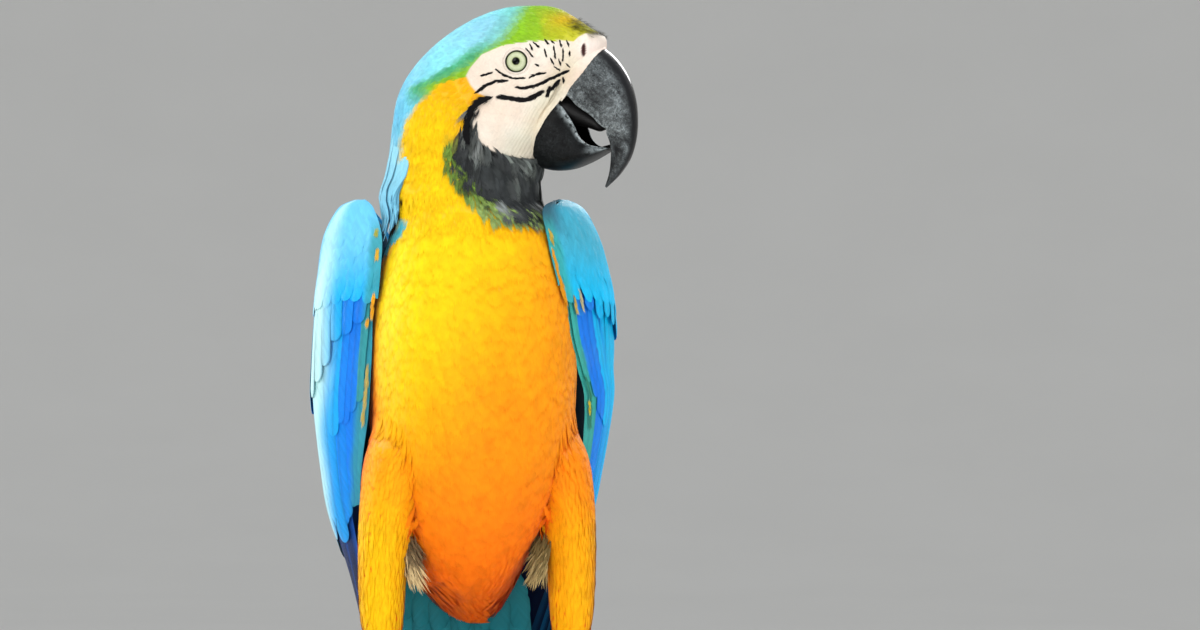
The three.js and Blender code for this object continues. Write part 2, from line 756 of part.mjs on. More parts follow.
// ---------------------------------------------------------------- perch, feet, stand
// The branch's centre and radius at a place along X.
function perchAt(x) {
  const share = x / PERCH.length;
  return {
    z: PERCH.topZ - PERCH.radius + PERCH.bend * (Math.cos(2 * Math.PI * share) - 1),
    radius: PERCH.radius + PERCH.knot * Math.sin(5.1 * share + 0.4) * Math.sin(9 * share),
  };
}

function perch(grow = 0) {
  const rings = [];
  const steps = 10;
  for (let i = 0; i <= steps; i++) {
    const x = PERCH.length * (i / steps - 0.5);
    const { z, radius } = perchAt(x);
    const end = i === 0 ? -grow : i === steps ? grow : 0;
    const ring = [];
    for (let j = 0; j < 16; j++) {
      const a = (2 * Math.PI * j) / 16;
      const r = radius + grow;
      ring.push(new THREE.Vector3(x + end, r * Math.cos(a), z + r * Math.sin(a)));
    }
    rings.push(ring);
  }
  return solidOf(loft(rings));
}

// A tube of round sections along a list of { point, radius }, tapering as they say.
function tube(stops, sides) {
  const curve = new THREE.CatmullRomCurve3(stops.map((s) => s.point));
  const count = stops.length - 1;
  const { normals, binormals } = curve.computeFrenetFrames(count, false);
  const rings = stops.map((stop, i) => {
    const ring = [];
    for (let j = 0; j < sides; j++) {
      const a = (2 * Math.PI * j) / sides;
      ring.push(
        stop.point
          .clone()
          .addScaledVector(normals[i], stop.radius * Math.cos(a))
          .addScaledVector(binormals[i], stop.radius * Math.sin(a)),
      );
    }
    return ring;
  });
  return solidOf(loft(rings));
}

// A toe's centre line bends over the branch: share 0 is under the shin and 1 the toe's tip.
function toePoint(side, toe, share) {
  const x = legAside(side, SHIN.x + toe.stray * Math.sqrt(share), PERCH.topZ);
  const { z, radius } = perchAt(x);
  const angle = THREE.MathUtils.degToRad(90 + toe.arc * share);
  const r = radius + TOE.radius * toe.size * TOE.swell + GAP;
  return new THREE.Vector3(x, r * Math.cos(angle), z + r * Math.sin(angle));
}

function toe(side, which) {
  const stops = [];
  for (let i = 0; i <= TOE.steps; i++) {
    const share = i / TOE.steps;
    const knuckle = 1 + (TOE.swell - 1) * Math.cos(3 * 2 * Math.PI * share);
    const taper = 1 - 0.3 * share ** 2;
    stops.push({
      point: toePoint(side, which, share),
      radius: TOE.radius * which.size * knuckle * taper,
    });
  }
  return tube(stops, TOE.sides);
}

function claw(side, which, grow = 0) {
  const reach = CLAW.length * which.size;
  const root = toePoint(side, which, 1);
  const before = toePoint(side, which, 0.94);
  const ahead = root.clone().sub(before).normalize();
  const { z } = perchAt(root.x);
  const out = new THREE.Vector3(0, root.y, root.z - z).normalize();
  const stops = [];
  for (let i = 0; i <= CLAW.steps; i++) {
    const share = i / CLAW.steps;
    stops.push({
      point: root
        .clone()
        .addScaledVector(ahead, reach * (share - 0.12))
        .addScaledVector(out, 3.4 * Math.sin(Math.PI * share) + 1.2 * (1 - share)),
      radius: CLAW.radius * which.size * (1 - share) + 0.25 + grow,
    });
  }
  return tube(stops, CLAW.sides);
}

function rod(side) {
  const top = perchAt(side * ROD.spread).z;
  const foot = BASE.height + GAP;
  const bar = new THREE.CylinderGeometry(ROD.radius, ROD.radius, top - foot, 16);
  bar.rotateX(Math.PI / 2);
  bar.translate(side * ROD.spread, 0, (top + foot) / 2);
  return solidOf(bar);
}

function base() {
  const { radius, height, chamfer } = BASE;
  const outline = [
    [0, 0],
    [radius, 0],
    [radius, height - chamfer],
    [radius - chamfer, height],
    [0, height],
  ];
  const disc = new THREE.LatheGeometry(
    outline.map(([r, h]) => new THREE.Vector2(r, h)),
    44,
  );
  disc.rotateX(Math.PI / 2);
  return solidOf(disc);
}

// ---------------------------------------------------------------- finishes
const YELLOW = finish(0xffb114, 0.8);
const BLUE = finish(0x2fb4e6, 0.75);
const TAIL_BLUE = finish(0x1b5f9e, 0.7);
const WHITE_SKIN = finish(0xf4ece0, 0.6);
const BILL = finish(0x191b1e, 0.35);
const IRIS = finish(0xd5dcae, 0.1);
const FOOT = finish(0x3a3a3c, 0.6);
const CLAW_BLACK = finish(0x141416, 0.3);
const BARK = finish(0x7a5a41, 0.9);
const STEEL = finish(0x9a9da1, 0.35, 1);
const BASE_WOOD = finish(0x4a3223, 0.45);

// ---------------------------------------------------------------- assembly
const body = trunk();
const bodyRoom = trunk(GAP);
const sides = [
  ["left", 1],
  ["right", -1],
];
const random = seeded(7);

// Head, with its eyes, lids, nostrils and bill.
let head = body.intersect(layer(HEAD_CUT_Z + GAP / 2, 900));
for (const [name, side] of sides) {
  const { point, normal } = cheek(EYE.along, EYE.z, -side);
  const centre = point.clone().addScaledVector(normal, EYE.proud - EYE.ball);
  const lid = new THREE.TorusGeometry(EYE.lid, EYE.lidWire, 5, 14);
  lid.applyQuaternion(new THREE.Quaternion().setFromUnitVectors(new THREE.Vector3(0, 0, 1), normal));
  lid.translate(...point.clone().addScaledVector(normal, -0.2));
  head = head.add(solidOf(lid)).subtract(ball(centre, EYE.socket, 10, 7));
  addMesh(`eye_${name}`, ball(centre, EYE.ball), IRIS);
  const pit = cheek(NOSTRIL.along, NOSTRIL.z, -side);
  head = head.subtract(ball(pit.point, NOSTRIL.radius, 8, 6));
}
addMesh("head", head, WHITE_SKIN);
const upperBill = solidOf(loft(billRings(UPPER_BILL, "ridge", "edge", 14)));
const upperRoom = solidOf(loft(billRings(UPPER_BILL, "ridge", "edge", 14, -GAP)));
addMesh("bill_upper", upperBill.subtract(bodyRoom), BILL);
const lowerBill = solidOf(loft(billRings(LOWER_BILL, "edge", "keel", 14)));
addMesh(
  "bill_lower",
  lowerBill.subtract(lowerBillTrough()).subtract(bodyRoom).subtract(upperRoom),
  BILL,
);
addMesh("tongue", tongue().subtract(bodyRoom), CLAW_BLACK);

// Neck and torso are the same form, parted by level cuts.
addMesh("neck", body.intersect(layer(NECK_CUT_Z + GAP / 2, HEAD_CUT_Z - GAP / 2)), YELLOW);
addMesh("torso", body.intersect(layer(400, NECK_CUT_Z - GAP / 2)), YELLOW);

// Legs, wings and tail stop short of the torso by the gap.
addMesh("tail", tail().subtract(bodyRoom), TAIL_BLUE);
const branchRoom = perch(GAP);
for (const [name, side] of sides) {
  addMesh(`leg_${name}`, leg(side).subtract(bodyRoom), YELLOW);
  addMesh(`wing_${name}`, wing(side, random).subtract(bodyRoom).subtract(leg(side, GAP)), BLUE);

  const shinStops = [0, 0.5, 1].map((share) => ({
    point: new THREE.Vector3(
      legAside(side, SHIN.x, PERCH.topZ),
      0,
      THREE.MathUtils.lerp(PERCH.topZ - 2, SHIN.top, share),
    ),
    radius: SHIN.radius * (1.15 - 0.3 * Math.sin(Math.PI * share)),
  }));
  let foot = tube(shinStops, 10);
  for (const which of TOES) foot = foot.add(toe(side, which));
  foot = foot.subtract(branchRoom);
  for (const which of TOES) {
    addMesh(`claw_${which.name}_${name}`, claw(side, which).subtract(branchRoom), CLAW_BLACK);
    foot = foot.subtract(claw(side, which, GAP));
  }
  addMesh(`foot_${name}`, foot, FOOT);
  addMesh(`stand_rod_${name}`, rod(side).subtract(branchRoom), STEEL);
}
addMesh("stand_perch", perch(), BARK);
addMesh("stand_base", base(), BASE_WOOD);

export default macaw;
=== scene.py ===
"""Looks of a life-size blue-and-yellow macaw on its display stand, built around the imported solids.

Lengths and tables are in millimetres and in the frame's axes: +Z up, the chest faces -Y and the
bird's left side is +X. new_object() turns them into metres.
"""
import math

import bpy
import numpy as np
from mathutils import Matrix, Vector
from mathutils.bvhtree import BVHTree
from mathutils.kdtree import KDTree


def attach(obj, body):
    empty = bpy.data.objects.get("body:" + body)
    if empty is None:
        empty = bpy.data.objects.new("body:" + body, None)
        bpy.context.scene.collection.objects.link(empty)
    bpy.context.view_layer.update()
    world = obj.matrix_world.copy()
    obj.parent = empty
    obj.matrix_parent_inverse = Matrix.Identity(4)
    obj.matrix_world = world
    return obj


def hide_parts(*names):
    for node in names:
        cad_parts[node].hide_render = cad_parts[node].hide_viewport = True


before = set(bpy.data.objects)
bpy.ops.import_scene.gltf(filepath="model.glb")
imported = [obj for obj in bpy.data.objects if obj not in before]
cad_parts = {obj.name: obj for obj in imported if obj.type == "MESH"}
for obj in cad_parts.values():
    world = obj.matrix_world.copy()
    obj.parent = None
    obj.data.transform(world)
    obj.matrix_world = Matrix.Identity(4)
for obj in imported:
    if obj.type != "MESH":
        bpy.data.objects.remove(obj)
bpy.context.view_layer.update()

MM = 0.001
UP = np.array([0.0, 0.0, 1.0])

# ---------------------------------------------------------------- the body's measures
SECTION_POWER = 2.15
HEAD_TURN = math.radians(65)
HEAD_PIVOT = np.array([3.5, -3.0, 0.0])
FORE = np.array([math.sin(HEAD_TURN), -math.cos(HEAD_TURN), 0.0])
SIDE = np.array([-math.cos(HEAD_TURN), -math.sin(HEAD_TURN), 0.0])  # the head's right

# Torso sections: height, chest's Y, back's Y, half width.
TORSO = [
    (499, 30, 56, 15),
    (506, 14, 60, 20),
    (516, -7, 62, 24),
    (530, -27, 63, 29),
    (548, -43, 63.5, 36),
    (570, -54, 63, 45),
    (598, -61, 61, 51),
    (630, -63, 58, 52.5),
    (660, -59, 54, 51),
    (682, -51, 48, 46.5),
    (699, -45, 42, 42),
]
# Head sections: height, then aft and fore reach along the bill's direction, half width.
HEAD = [
    (714, -49, 30, 37),
    (724, -47.9, 31.5, 33.5),
    (733, -47.2, 33, 31),
    (744, -46, 37, 29.5),
    (755, -44.7, 42, 29),
    (766, -42, 49, 28.5),
    (776, -36.5, 57, 27.5),
    (785, -29, 63, 25.8),
    (793, -20, 64, 23),
    (800, -9.5, 55, 18.8),
    (805.5, 2, 46.5, 13.6),
    (809, 14, 38.5, 7.2),
    (810, 28, 28, 0),
]
# Leg sections: height, distance from the midline, Y, half width, half depth.
LEG = [
    (492, 45, 0, 9, 9.5),
    (500, 45.5, -1, 11.4, 12.5),
    (518, 46, -3.5, 12.8, 15.5),
    (540, 45.5, -7, 14, 19),
    (562, 43.5, -11, 15.5, 23),
    (585, 38, -12, 18.5, 25),
    (606, 30, -10, 18, 22),
]
STANCE = {1: 5, -1: 0}  # how much further out each foot is than the table says

EYE = {"along": 26.2, "z": 780.4, "ball": 7.0, "proud": 1.3, "iris": 5.15, "pupil": 1.8}
LID = {"inner": 5.05, "crest": 5.85, "outer": 8.3, "rise": 0.5}
NOSTRIL = {"along": 57.6, "z": 786.2, "wide": 0.8, "high": 3.2, "deep": 1.1}
# Where the cheek ends at the mouth: place along the bill's direction for a height.
MOUTH_EDGE = {
    "z": [738, 744, 750, 754.7, 758.7, 764, 768],
    "along": [31.2, 33.0, 35.7, 38.0, 41.0, 44.0, 46],
}

# The bare face's outline, along the bill's direction and height, from the nape corner over the
# eye to the bill, and back under the cheek.
FACE = [
    (0.8, 773.5), (2.6, 777.2), (8.4, 784.0), (18.9, 788.4), (32.0, 790.7), (47.0, 790.9),
    (53.2, 790.2), (55.2, 792.6), (58.0, 794.6), (63.0, 793.8), (70.0, 791.0), (70.0, 758.0),
    (45.0, 734.0), (34.0, 731.8), (26.0, 732.8), (18.8, 734.4), (13.0, 736.8), (7.6, 740.8),
    (4.6, 746.5), (4.2, 752.0), (6.0, 757.6), (12.6, 762.4), (6.6, 765.0), (3.2, 769.0),
]
# Lines of small black feathers on the bare skin: places, and the line's width.
FACE_LINES = [
    ([(16.5, 776.2), (20.4, 773.4), (24.6, 772.0), (30.3, 772.0)], 0.65),
    ([(32.5, 772.3), (36.0, 774.1), (39.7, 774.6)], 0.8),
    ([(26.3, 767.6), (29.6, 767.1), (35.6, 768.6), (40.1, 770.8), (44.7, 773.2), (50.0, 775.9)], 1.3),
    ([(17.1, 762.8), (22.8, 762.3), (28.1, 761.2), (31.9, 761.7), (37.9, 765.5)], 2.3),
    ([(39.6, 763.5), (41.2, 767.6)], 1.6),
    ([(41.7, 766.6), (45.6, 771.2)], 1.5),
    ([(47.1, 769.6), (47.4, 772.4)], 0.7),
    ([(6.0, 764.9), (11.3, 768.6), (16.1, 770.7), (21.7, 770.7)], 1.35),
    ([(9.0, 773.5), (14.1, 774.9)], 0.8),
]
CHEEK_BAND = ([(13.5, 762.4), (8.5, 760.8), (4.4, 757.2), (2.2, 751.5), (1.6, 745.5), (2.6, 740.5)], 3.0)
LORE_WIDTH = 0.65
LORE_DASHES = [
    ((30.9, 786.6), (34.1, 782.8)), ((32.5, 789.0), (33.9, 786.2)), ((34.4, 789.8), (36.9, 787.6)),
    ((39.8, 786.2), (40.7, 782.8)), ((39.8, 791.1), (41.3, 789.3)), ((42.8, 790.8), (44.0, 789.6)),
    ((44.3, 787.9), (44.8, 782.1)), ((46.8, 790.8), (47.6, 788.0)), ((50.1, 790.5), (50.9, 788.0)),
    ((48.5, 786.6), (48.2, 781.0)), ((51.3, 785.3), (51.2, 782.9)), ((42.7, 782.1), (43.9, 779.4)),
    ((46.5, 781.4), (46.9, 779.0)), ((35.4, 778.9), (36.7, 778.3)), ((44.4, 777.6), (46.2, 776.4)),
    ((49.7, 779.0), (50.8, 778.0)),
]
# The black throat, from behind the cheek down and round under the bill.
THROAT = [
    (12.6, 762.6), (6.4, 760.4), (3.2, 756.6), (0.4, 749.0), (-5.4, 741.0), (-5.6, 735.5),
    (1.5, 727.0), (7.0, 719.0), (13.0, 711.5), (22.0, 707.0), (31.0, 708.5), (60.0, 710.0),
    (60.0, 732.0), (34.0, 733.5), (26.0, 734.5), (18.8, 736.2), (13.0, 738.6), (7.6, 742.0),
    (5.8, 746.5), (5.4, 752.0), (6.6, 757.0),
]

# Upper bill rows: a point on its ridge and one on its lower edge, each along the bill's
# direction and height, and the half width there.
UPPER_BILL = [
    ((54, 795), (37, 768), 13),
    ((65.2, 787), (47.5, 764.4), 14.6),
    ((71.6, 781), (53.2, 758.8), 14.2),
    ((77, 772.5), (58.2, 755.2), 13.2),
    ((80.3, 762), (63.2, 751.2), 11.6),
    ((81.3, 752), (66.8, 746), 9.6),
    ((80.7, 742.5), (69, 739.5), 7.4),
    ((78, 733), (68.8, 732), 5.4),
    ((72.6, 724.8), (67.4, 725), 3.2),
    ((65.6, 718.2), (64.8, 718.8), 0.5),
]
# Lower bill rows: keel, upper edge, half width. It is a trough with walls of some thickness.
LOWER_BILL = [
    ((20, 736), (38.5, 762), 14),
    ((27.5, 730.5), (45.4, 758.8), 16.2),
    ((34, 727.8), (49.2, 754), 16.4),
    ((41, 726.8), (52.4, 748.6), 16),
    ((49, 727.6), (54.8, 743), 15),
    ((56.5, 730.4), (58.6, 739.6), 13.4),
    ((62.8, 733.8), (63.2, 738.4), 11.2),
    ((67, 736.6), (67.6, 737.8), 8.6),
]
LOWER_BILL_WALL = 2.2
# Tongue rows: along, height, radius.
TONGUE = [
    (34, 753, 8.5),
    (40, 757, 10),
    (46, 757.5, 9.6),
    (52, 755, 8),
    (57.5, 752.2, 6.2),
    (62, 749.6, 4.6),
    (65, 748, 1.4),
]
# The bare skin that hugs the bill's base: where it ends, as places along the bill's direction for
# heights, how far it passes the bill's rims into the corner of the mouth, and its mesh.
UPPER_CUFF = {
    "z": [763, 767, 771, 775, 779.5, 785, 789],
    "along": [47.5, 49.8, 53.4, 57.2, 60.2, 63.7, 66.1],
}
LOWER_CUFF = {
    "z": [727, 732, 735, 739, 743.6, 748, 752, 756, 760],
    "along": [20, 28, 31, 32, 33.4, 35.9, 38, 40.8, 44],
}
CUFF = {"past_rim": 3.8, "rows": 40, "columns": 121, "strip": 9, "lip": [0.05, -0.4]}

# Wing sections: height, then the leading edge, the widest bulge and the trailing edge, each as
# distance from the midline and Y, and the thickness. The left wing (1) reaches further over the
# breast than the right one (-1).
LOW_WING = [
    (577, (58.5, 4), (72.5, 32), (12.5, 72), 12),
    (553, (57, 13), (67.5, 35), (11, 72.5), 10),
    (512, (51, 30), (53.5, 49), (9, 73), 8),
    (450, (40, 49), (38, 61), (8, 75), 6),
    (400, (29, 62), (27, 69), (9, 78), 4),
    (350, (17, 74), (17, 77), (11, 80), 2),
]
WING = {
    1: [
        (713, (42, -16), (47, -4), (46, 12), 6),
        (708, (33, -29.5), (57, 5), (45, 32), 14),
        (695, (35, -33), (65, 12), (34, 48), 16),
        (680, (38.3, -35), (70, 16), (29, 55), 18),
        (662, (42.2, -37), (74, 20), (23, 62), 18),
        (642, (46, -34.5), (76, 22.5), (20, 66), 17),
        (628, (53, -18), (77, 24.5), (18, 68.5), 16),
        (612, (58.5, -9), (77.5, 26), (16, 70), 15),
        *LOW_WING,
    ],
    -1: [
        (713, (54, 4), (57, 10), (52, 18), 6),
        (708, (51.5, -2), (65, 8), (46, 32), 14),
        (695, (50, -11), (72, 14), (34, 48), 18),
        (680, (51, -14), (74.5, 17), (29, 55), 20),
        (662, (53, -15.5), (76.5, 20), (23, 62), 20),
        (642, (54.5, -13), (77.3, 22.5), (20, 66), 18),
        (628, (55.5, -10.5), (77.6, 24.5), (18, 68.5), 16),
        (612, (56.5, -8), (77.5, 26), (16, 70), 15),
        *LOW_WING,
    ],
}
WING_TOP = 713
WING_CORE = {"below_top": 0.8, "low": 584, "top_depth": 1.4, "low_depth": 6.5, "under_coverts": 3.6}
# Tiers of long wing feathers, deepest first. Each list runs from the leading feather to the
# rearmost: half width, height and place across the wing of root and tip.
FLIGHT_TIERS = [
    {
        "name": "primaries",
        "count": 10,
        "half": [8.5, 10.5],
        "depth": [3.4, 1.6],
        "root_z": [602, 598],
        "root_v": [0.12, 0.8],
        "tip_z": {side: [384, 364, 355, 359, 380, 410, 442, 474, 504] for side in (1, -1)},
        "tip_v": [0.12, 0.32, 0.48, 0.62, 0.72, 0.79, 0.85, 0.89, 0.92],
    },
    {
        "name": "secondaries",
        "count": 19,
        "half": [5.4, 9.2],
        "depth": [2.9, 1.2],
        "root_z": [668, 654],
        "root_v": [0.03, 0.88],
        "tip_z": {side: [560, 556, 541, 548, 536, 533, 528, 524] for side in (1, -1)},
        "tip_v": [0.0, 0.06, 0.14, 0.24, 0.36, 0.5, 0.68, 0.93],
    },
    {
        "name": "primary_coverts",
        "count": 5,
        "half": [3.4, 4.2],
        "depth": [2.0, 0.7],
        "root_z": [672, 660],
        "root_v": [0.03, 0.14],
        "tip_z": {1: [622, 604, 598], -1: [612, 600, 596]},
        "tip_v": [0.02, 0.08, 0.14],
    },
    {
        "name": "greater_coverts",
        "count": 12,
        "half": [4.6, 7.6],
        "depth": [1.5, 0.35],
        "root_z": [688, 668],
        "root_v": [0.04, 0.92],
        "tip_z": {1: [654, 656, 650, 640, 626, 606], -1: [650, 640, 618, 600, 604, 600]},
        "tip_v": [0.05, 0.17, 0.3, 0.5, 0.72, 0.94],
    },
    {
        "name": "median_coverts",
        "count": 15,
        "half": [4.0, 6.0],
        "depth": [0.9, 0.15],
        "root_z": [694, 680],
        "root_v": [0.03, 0.92],
        "tip_z": {1: [670, 666, 658, 650], -1: [666, 660, 652, 646]},
        "tip_v": [0.03, 0.35, 0.65, 0.95],
    },
]
# Small covert rows over the shoulder: heights of the leading feather's tip, how much lower the
# rearmost one ends (the more so the lower the row), and the feathers' length, shortest length,
# spacing, half width, depth at root and tip, cant and mesh.
COVERT_ROWS = {
    "tips": [663, 668.5, 674, 679, 684, 688.5, 693, 697, 701, 704.5, 707.5, 709.5, 711],
    "fall": 16,
    "fall_from": 712,
    "fall_over": 45,
    "length": 13,
    "least": 3,
    "pitch": 4.2,
    "half": 3.5,
    "depth": [0.42, 0],
    "cant": 0.04,
    "mesh": (12, 7),
}
# How far a long feather cants across, how much its tip's height strays, and its mesh.
FLIGHT = {"cant": 0.07, "stray": 1.6, "long_mesh": (40, 9), "short_mesh": (16, 7)}
# Small odd feathers along each wing's leading edge: heights between which they are rooted, place
# across the wing, colour on the screen.
EDGING = {
    1: [
        (700, 690, -0.008, (214, 186, 80)),
        (690, 660, -0.014, (250, 174, 36)),
        (676, 660, -0.01, (244, 166, 30)),
        (666, 656, 0.03, (222, 190, 90)),
        (670, 658, 0.06, (206, 200, 150)),
        (626, 598, 0.0, (56, 140, 116)),
        (614, 606, -0.008, (222, 200, 44)),
    ],
    -1: [
        (700, 694, -0.006, (186, 186, 84)),
        (690, 683, -0.008, (240, 190, 60)),
        (668, 654, -0.008, (250, 180, 40)),
        (655, 650, 0.004, (240, 180, 60)),
        (632, 600, -0.012, (206, 186, 104)),
    ],
}
EDGING_SIZE = {"step": 0.5, "length": 5.2, "width": 1.1, "stray": 0.0015}

# The tail hangs from its root, leaning back: pairs of feathers, the longest pair uppermost,
# each with its tip's height, distance from the midline and half width.
TAIL = {
    "root_z": 506,
    "sheet_root_z": 500,
    "root_y": 47,
    "lean": 0.122,
    "arch": 0.004,
    "step": 1.2,
    "covert_half": 7.2,
}
TAIL_PAIRS = [
    (36, 3.5, 14),
    (66, 6.5, 13.5),
    (112, 9.5, 13),
    (168, 12, 12.5),
    (226, 14.5, 12),
    (282, 17, 11.5),
]
# Tail coverts: upper (1) or under (-1) side, their roots' height, each row's tips and the step
# from one feather to the next.
TAIL_COVERTS = [
    (1, 514, [486, 470, 454, 440, 430], 6.4),
    (-1, 530, [494, 478, 460, 440, 422], 10.6),
]
# Widths of a tail feather down its length.
TAIL_TAPER = {
    "u": [0, 0.15, 0.3, 0.5, 0.68, 0.8, 0.9, 0.96, 1],
    "wide": [0.5, 0.85, 1, 0.96, 0.86, 0.7, 0.45, 0.26, 0],
}

PERCH = {"top": 471, "radius": 22, "length": 240, "bend": 2.5, "knot": 1.6}
ROD = {"radius": 5, "aside": 88, "sides": 48}
BASE = {"radius": 155, "height": 18, "chamfer": 2.5}
SHIN = {"x": 44.5, "radius": 4.6, "low": 469, "top": 491.5}
TOE = {"radius": 4.1, "swell": 1.1, "scute": 0.14, "sides": 40}
CLAW = {"length": 15, "radius": 2.3, "sides": 28}
# Each toe: its arc over the branch in degrees, how far its tip strays sideways, its thickness.
TOES = {
    "inner_front": (92, -13, 0.94),
    "outer_front": (106, 5, 1.0),
    "outer_back": (-98, 14, 0.96),
    "inner_back": (-76, -8, 0.88),
}

# ---------------------------------------------------------------- smooth tables
def smooth(values, place):
    """A smooth value at a place, counted in rows, in a list of numbers."""
    values = np.asarray(values, float)
    place = np.asarray(place, float)
    row = np.clip(np.floor(place).astype(int), 0, len(values) - 2)
    u = place - row
    slope = np.gradient(values)
    return (
        (2 * u**3 - 3 * u**2 + 1) * values[row]
        + (u**3 - 2 * u**2 + u) * slope[row]
        + (3 * u**2 - 2 * u**3) * values[row + 1]
        + (u**3 - u**2) * slope[row + 1]
    )


def row_at(values, wanted):
    """The row place at which a rising or falling column reaches a value."""
    places = np.linspace(0, len(values) - 1, 6001)
    reached = smooth(values, places)
    if reached[-1] < reached[0]:
        return np.interp(wanted, reached[::-1], places[::-1])
    return np.interp(wanted, reached, places)


def row_of(rows, z):
    """The row place of a height in a table whose first column is the height."""
    return row_at([row[0] for row in rows], z)


def columns(rows, place, *wanted):
    """Smooth values, at a row place, of the wanted columns of a table with numbers and pairs."""
    table = np.array([np.hstack(row) for row in rows], float)
    return [smooth(table[:, k], place) for k in wanted]


def full_turn(sides):
    """Angles once round, without the last."""
    return np.linspace(0, 2 * math.pi, sides, endpoint=False)


def lerp(a, b, share):
    """The value at a share of the way from a to b."""
    return a + (b - a) * share


def step_between(low, high, value):
    """0 below low, 1 above high, and a soft step between."""
    u = np.clip((value - low) / (high - low), 0, 1)
    return u * u * (3 - 2 * u)


def unit(vectors):
    return vectors / (np.linalg.norm(vectors, axis=-1, keepdims=True) + 1e-12)


def dot(a, b):
    return (a * b).sum(-1, keepdims=True)


# ---------------------------------------------------------------- the body's surfaces
def trunk_rows():
    """Torso and head as one table: middle, yaw, and half axes at each height."""
    rows = [(z, 0, (front + back) / 2, 0, (back - front) / 2, half) for z, front, back, half in TORSO]
    for z, aft, fore, half in HEAD:
        x, y, _ = HEAD_PIVOT + FORE * (aft + fore) / 2
        rows.append((z, x, y, HEAD_TURN, (fore - aft) / 2, half))
    return dict(zip(("z", "x", "y", "yaw", "fore", "half"), np.array(rows, float).T))


TRUNK = trunk_rows()
TRUNK_TOP = len(TRUNK["z"]) - 1


def trunk_point(place, angle):
    """The body's surface. The angle is 0 at the chest and rises towards the bird's left."""
    at = {key: smooth(column, place) for key, column in TRUNK.items()}
    local = angle - at["yaw"]
    fore = np.abs(np.cos(local)) / np.maximum(at["fore"], 0.01)
    side = np.abs(np.sin(local)) / np.maximum(at["half"], 0.01)
    radius = (fore**SECTION_POWER + side**SECTION_POWER) ** (-1 / SECTION_POWER)
    x = at["x"] + radius * np.sin(angle)
    y = at["y"] - radius * np.cos(angle)
    return np.stack([x, y, at["z"] + 0 * angle], -1)


def head_place(points):
    """Along the bill's direction, to the head's right, and height."""
    rel = points - HEAD_PIVOT
    return rel @ FORE, rel @ SIDE, points[..., 2]


def cheek_point(along, z, sign):
    """The head's surface at a place along the bill's direction and a height, on its right
    (sign 1) or left (sign -1) side."""
    place = row_at(TRUNK["z"], z)
    mid = HEAD_PIVOT + np.stack([smooth(TRUNK["x"], place), smooth(TRUNK["y"], place), 0 * place], -1)
    middle = (mid - 2 * HEAD_PIVOT) @ FORE
    share = np.clip(np.abs(along - middle) / smooth(TRUNK["fore"], place), 0, 1)
    right = smooth(TRUNK["half"], place) * (1 - share**SECTION_POWER) ** (1 / SECTION_POWER)
    flat = HEAD_PIVOT + np.asarray(along)[..., None] * FORE + (sign * right)[..., None] * SIDE
    return flat * [1, 1, 0] + np.asarray(z)[..., None] * UP


def cheek(along, z, sign):
    """cheek_point with the outward normal."""
    along = np.asarray(along, float)
    z = np.asarray(z, float)
    step = 0.3
    here = cheek_point(along, z, sign)
    fore = cheek_point(along + step, z, sign) - cheek_point(along - step, z, sign)
    rise = cheek_point(along, z + step, sign) - cheek_point(along, z - step, sign)
    normal = unit(np.cross(fore, rise))
    return here, normal * np.sign(dot(normal, SIDE * np.asarray(sign)[..., None]))


def line_distance(line, along, z):
    """Distance from an open line of places."""
    best = np.full(np.shape(along), np.inf)
    for (ax, az), (bx, bz) in zip(line[:-1], line[1:]):
        share = ((along - ax) * (bx - ax) + (z - az) * (bz - az)) / ((bx - ax) ** 2 + (bz - az) ** 2)
        share = np.clip(share, 0, 1)
        best = np.minimum(best, np.hypot(along - ax - share * (bx - ax), z - az - share * (bz - az)))
    return best


def polygon_distance(outline, along, z):
    """Distance inside (plus) or outside (minus) a closed outline."""
    closed = [*outline, outline[0]]
    inside = np.zeros(np.shape(along), bool)
    for (ax, az), (bx, bz) in zip(outline, closed[1:]):
        if az != bz:
            crosses = (az > z) != (bz > z)
            inside ^= crosses & (along < (bx - ax) * (z - az) / (bz - az) + ax)
    best = line_distance(closed, along, z)
    return np.where(inside, best, -best)


# ---------------------------------------------------------------- markings
def colour(red, green, blue):
    """A linear colour from its screen values, 0 to 255."""
    screen = np.array([red, green, blue]) / 255
    return np.where(screen <= 0.04045, screen / 12.92, ((screen + 0.055) / 1.055) ** 2.4)


LEMON = colour(254, 228, 12)
GOLD = colour(254, 196, 10)
ORANGE = colour(252, 146, 10)
DEEP_ORANGE = colour(254, 112, 10)
TURQUOISE = colour(150, 236, 244)
SKY = colour(108, 204, 240)
GREEN = colour(146, 200, 40)
OLIVE = colour(204, 196, 40)
BRISTLE = colour(74, 62, 26)
SEA_GREEN = colour(84, 184, 132)
THROAT_BLACK = colour(54, 57, 58)
MOSS = colour(118, 150, 60)
DOWN_BROWN = colour(112, 96, 70)
DOWN_PALE = colour(214, 190, 140)
FACE_WHITE = colour(238, 231, 217)
CERE_PINK = colour(240, 214, 204)
TEAL = colour(34, 132, 146)
LINE_BLACK = colour(18, 17, 19)

# Half width, in degrees round from the back, of the blue that runs from the nape down the back.
NAPE_EDGE = {
    "z": [560, 640, 680, 699, 706, 714, 730, 742, 750, 757, 764, 770, 772.5, 775],
    "degrees": [70, 74, 82, 94, 70, 46, 38, 34, 38, 41, 47, 48, 66, 120],
}
# Where turquoise turns green on the crown: place along the bill's direction for a height.
GREEN_EDGE = {"z": [768, 772, 779, 785, 792, 801, 810], "along": [-24, -14, 0, 7, 16, 21, 23]}
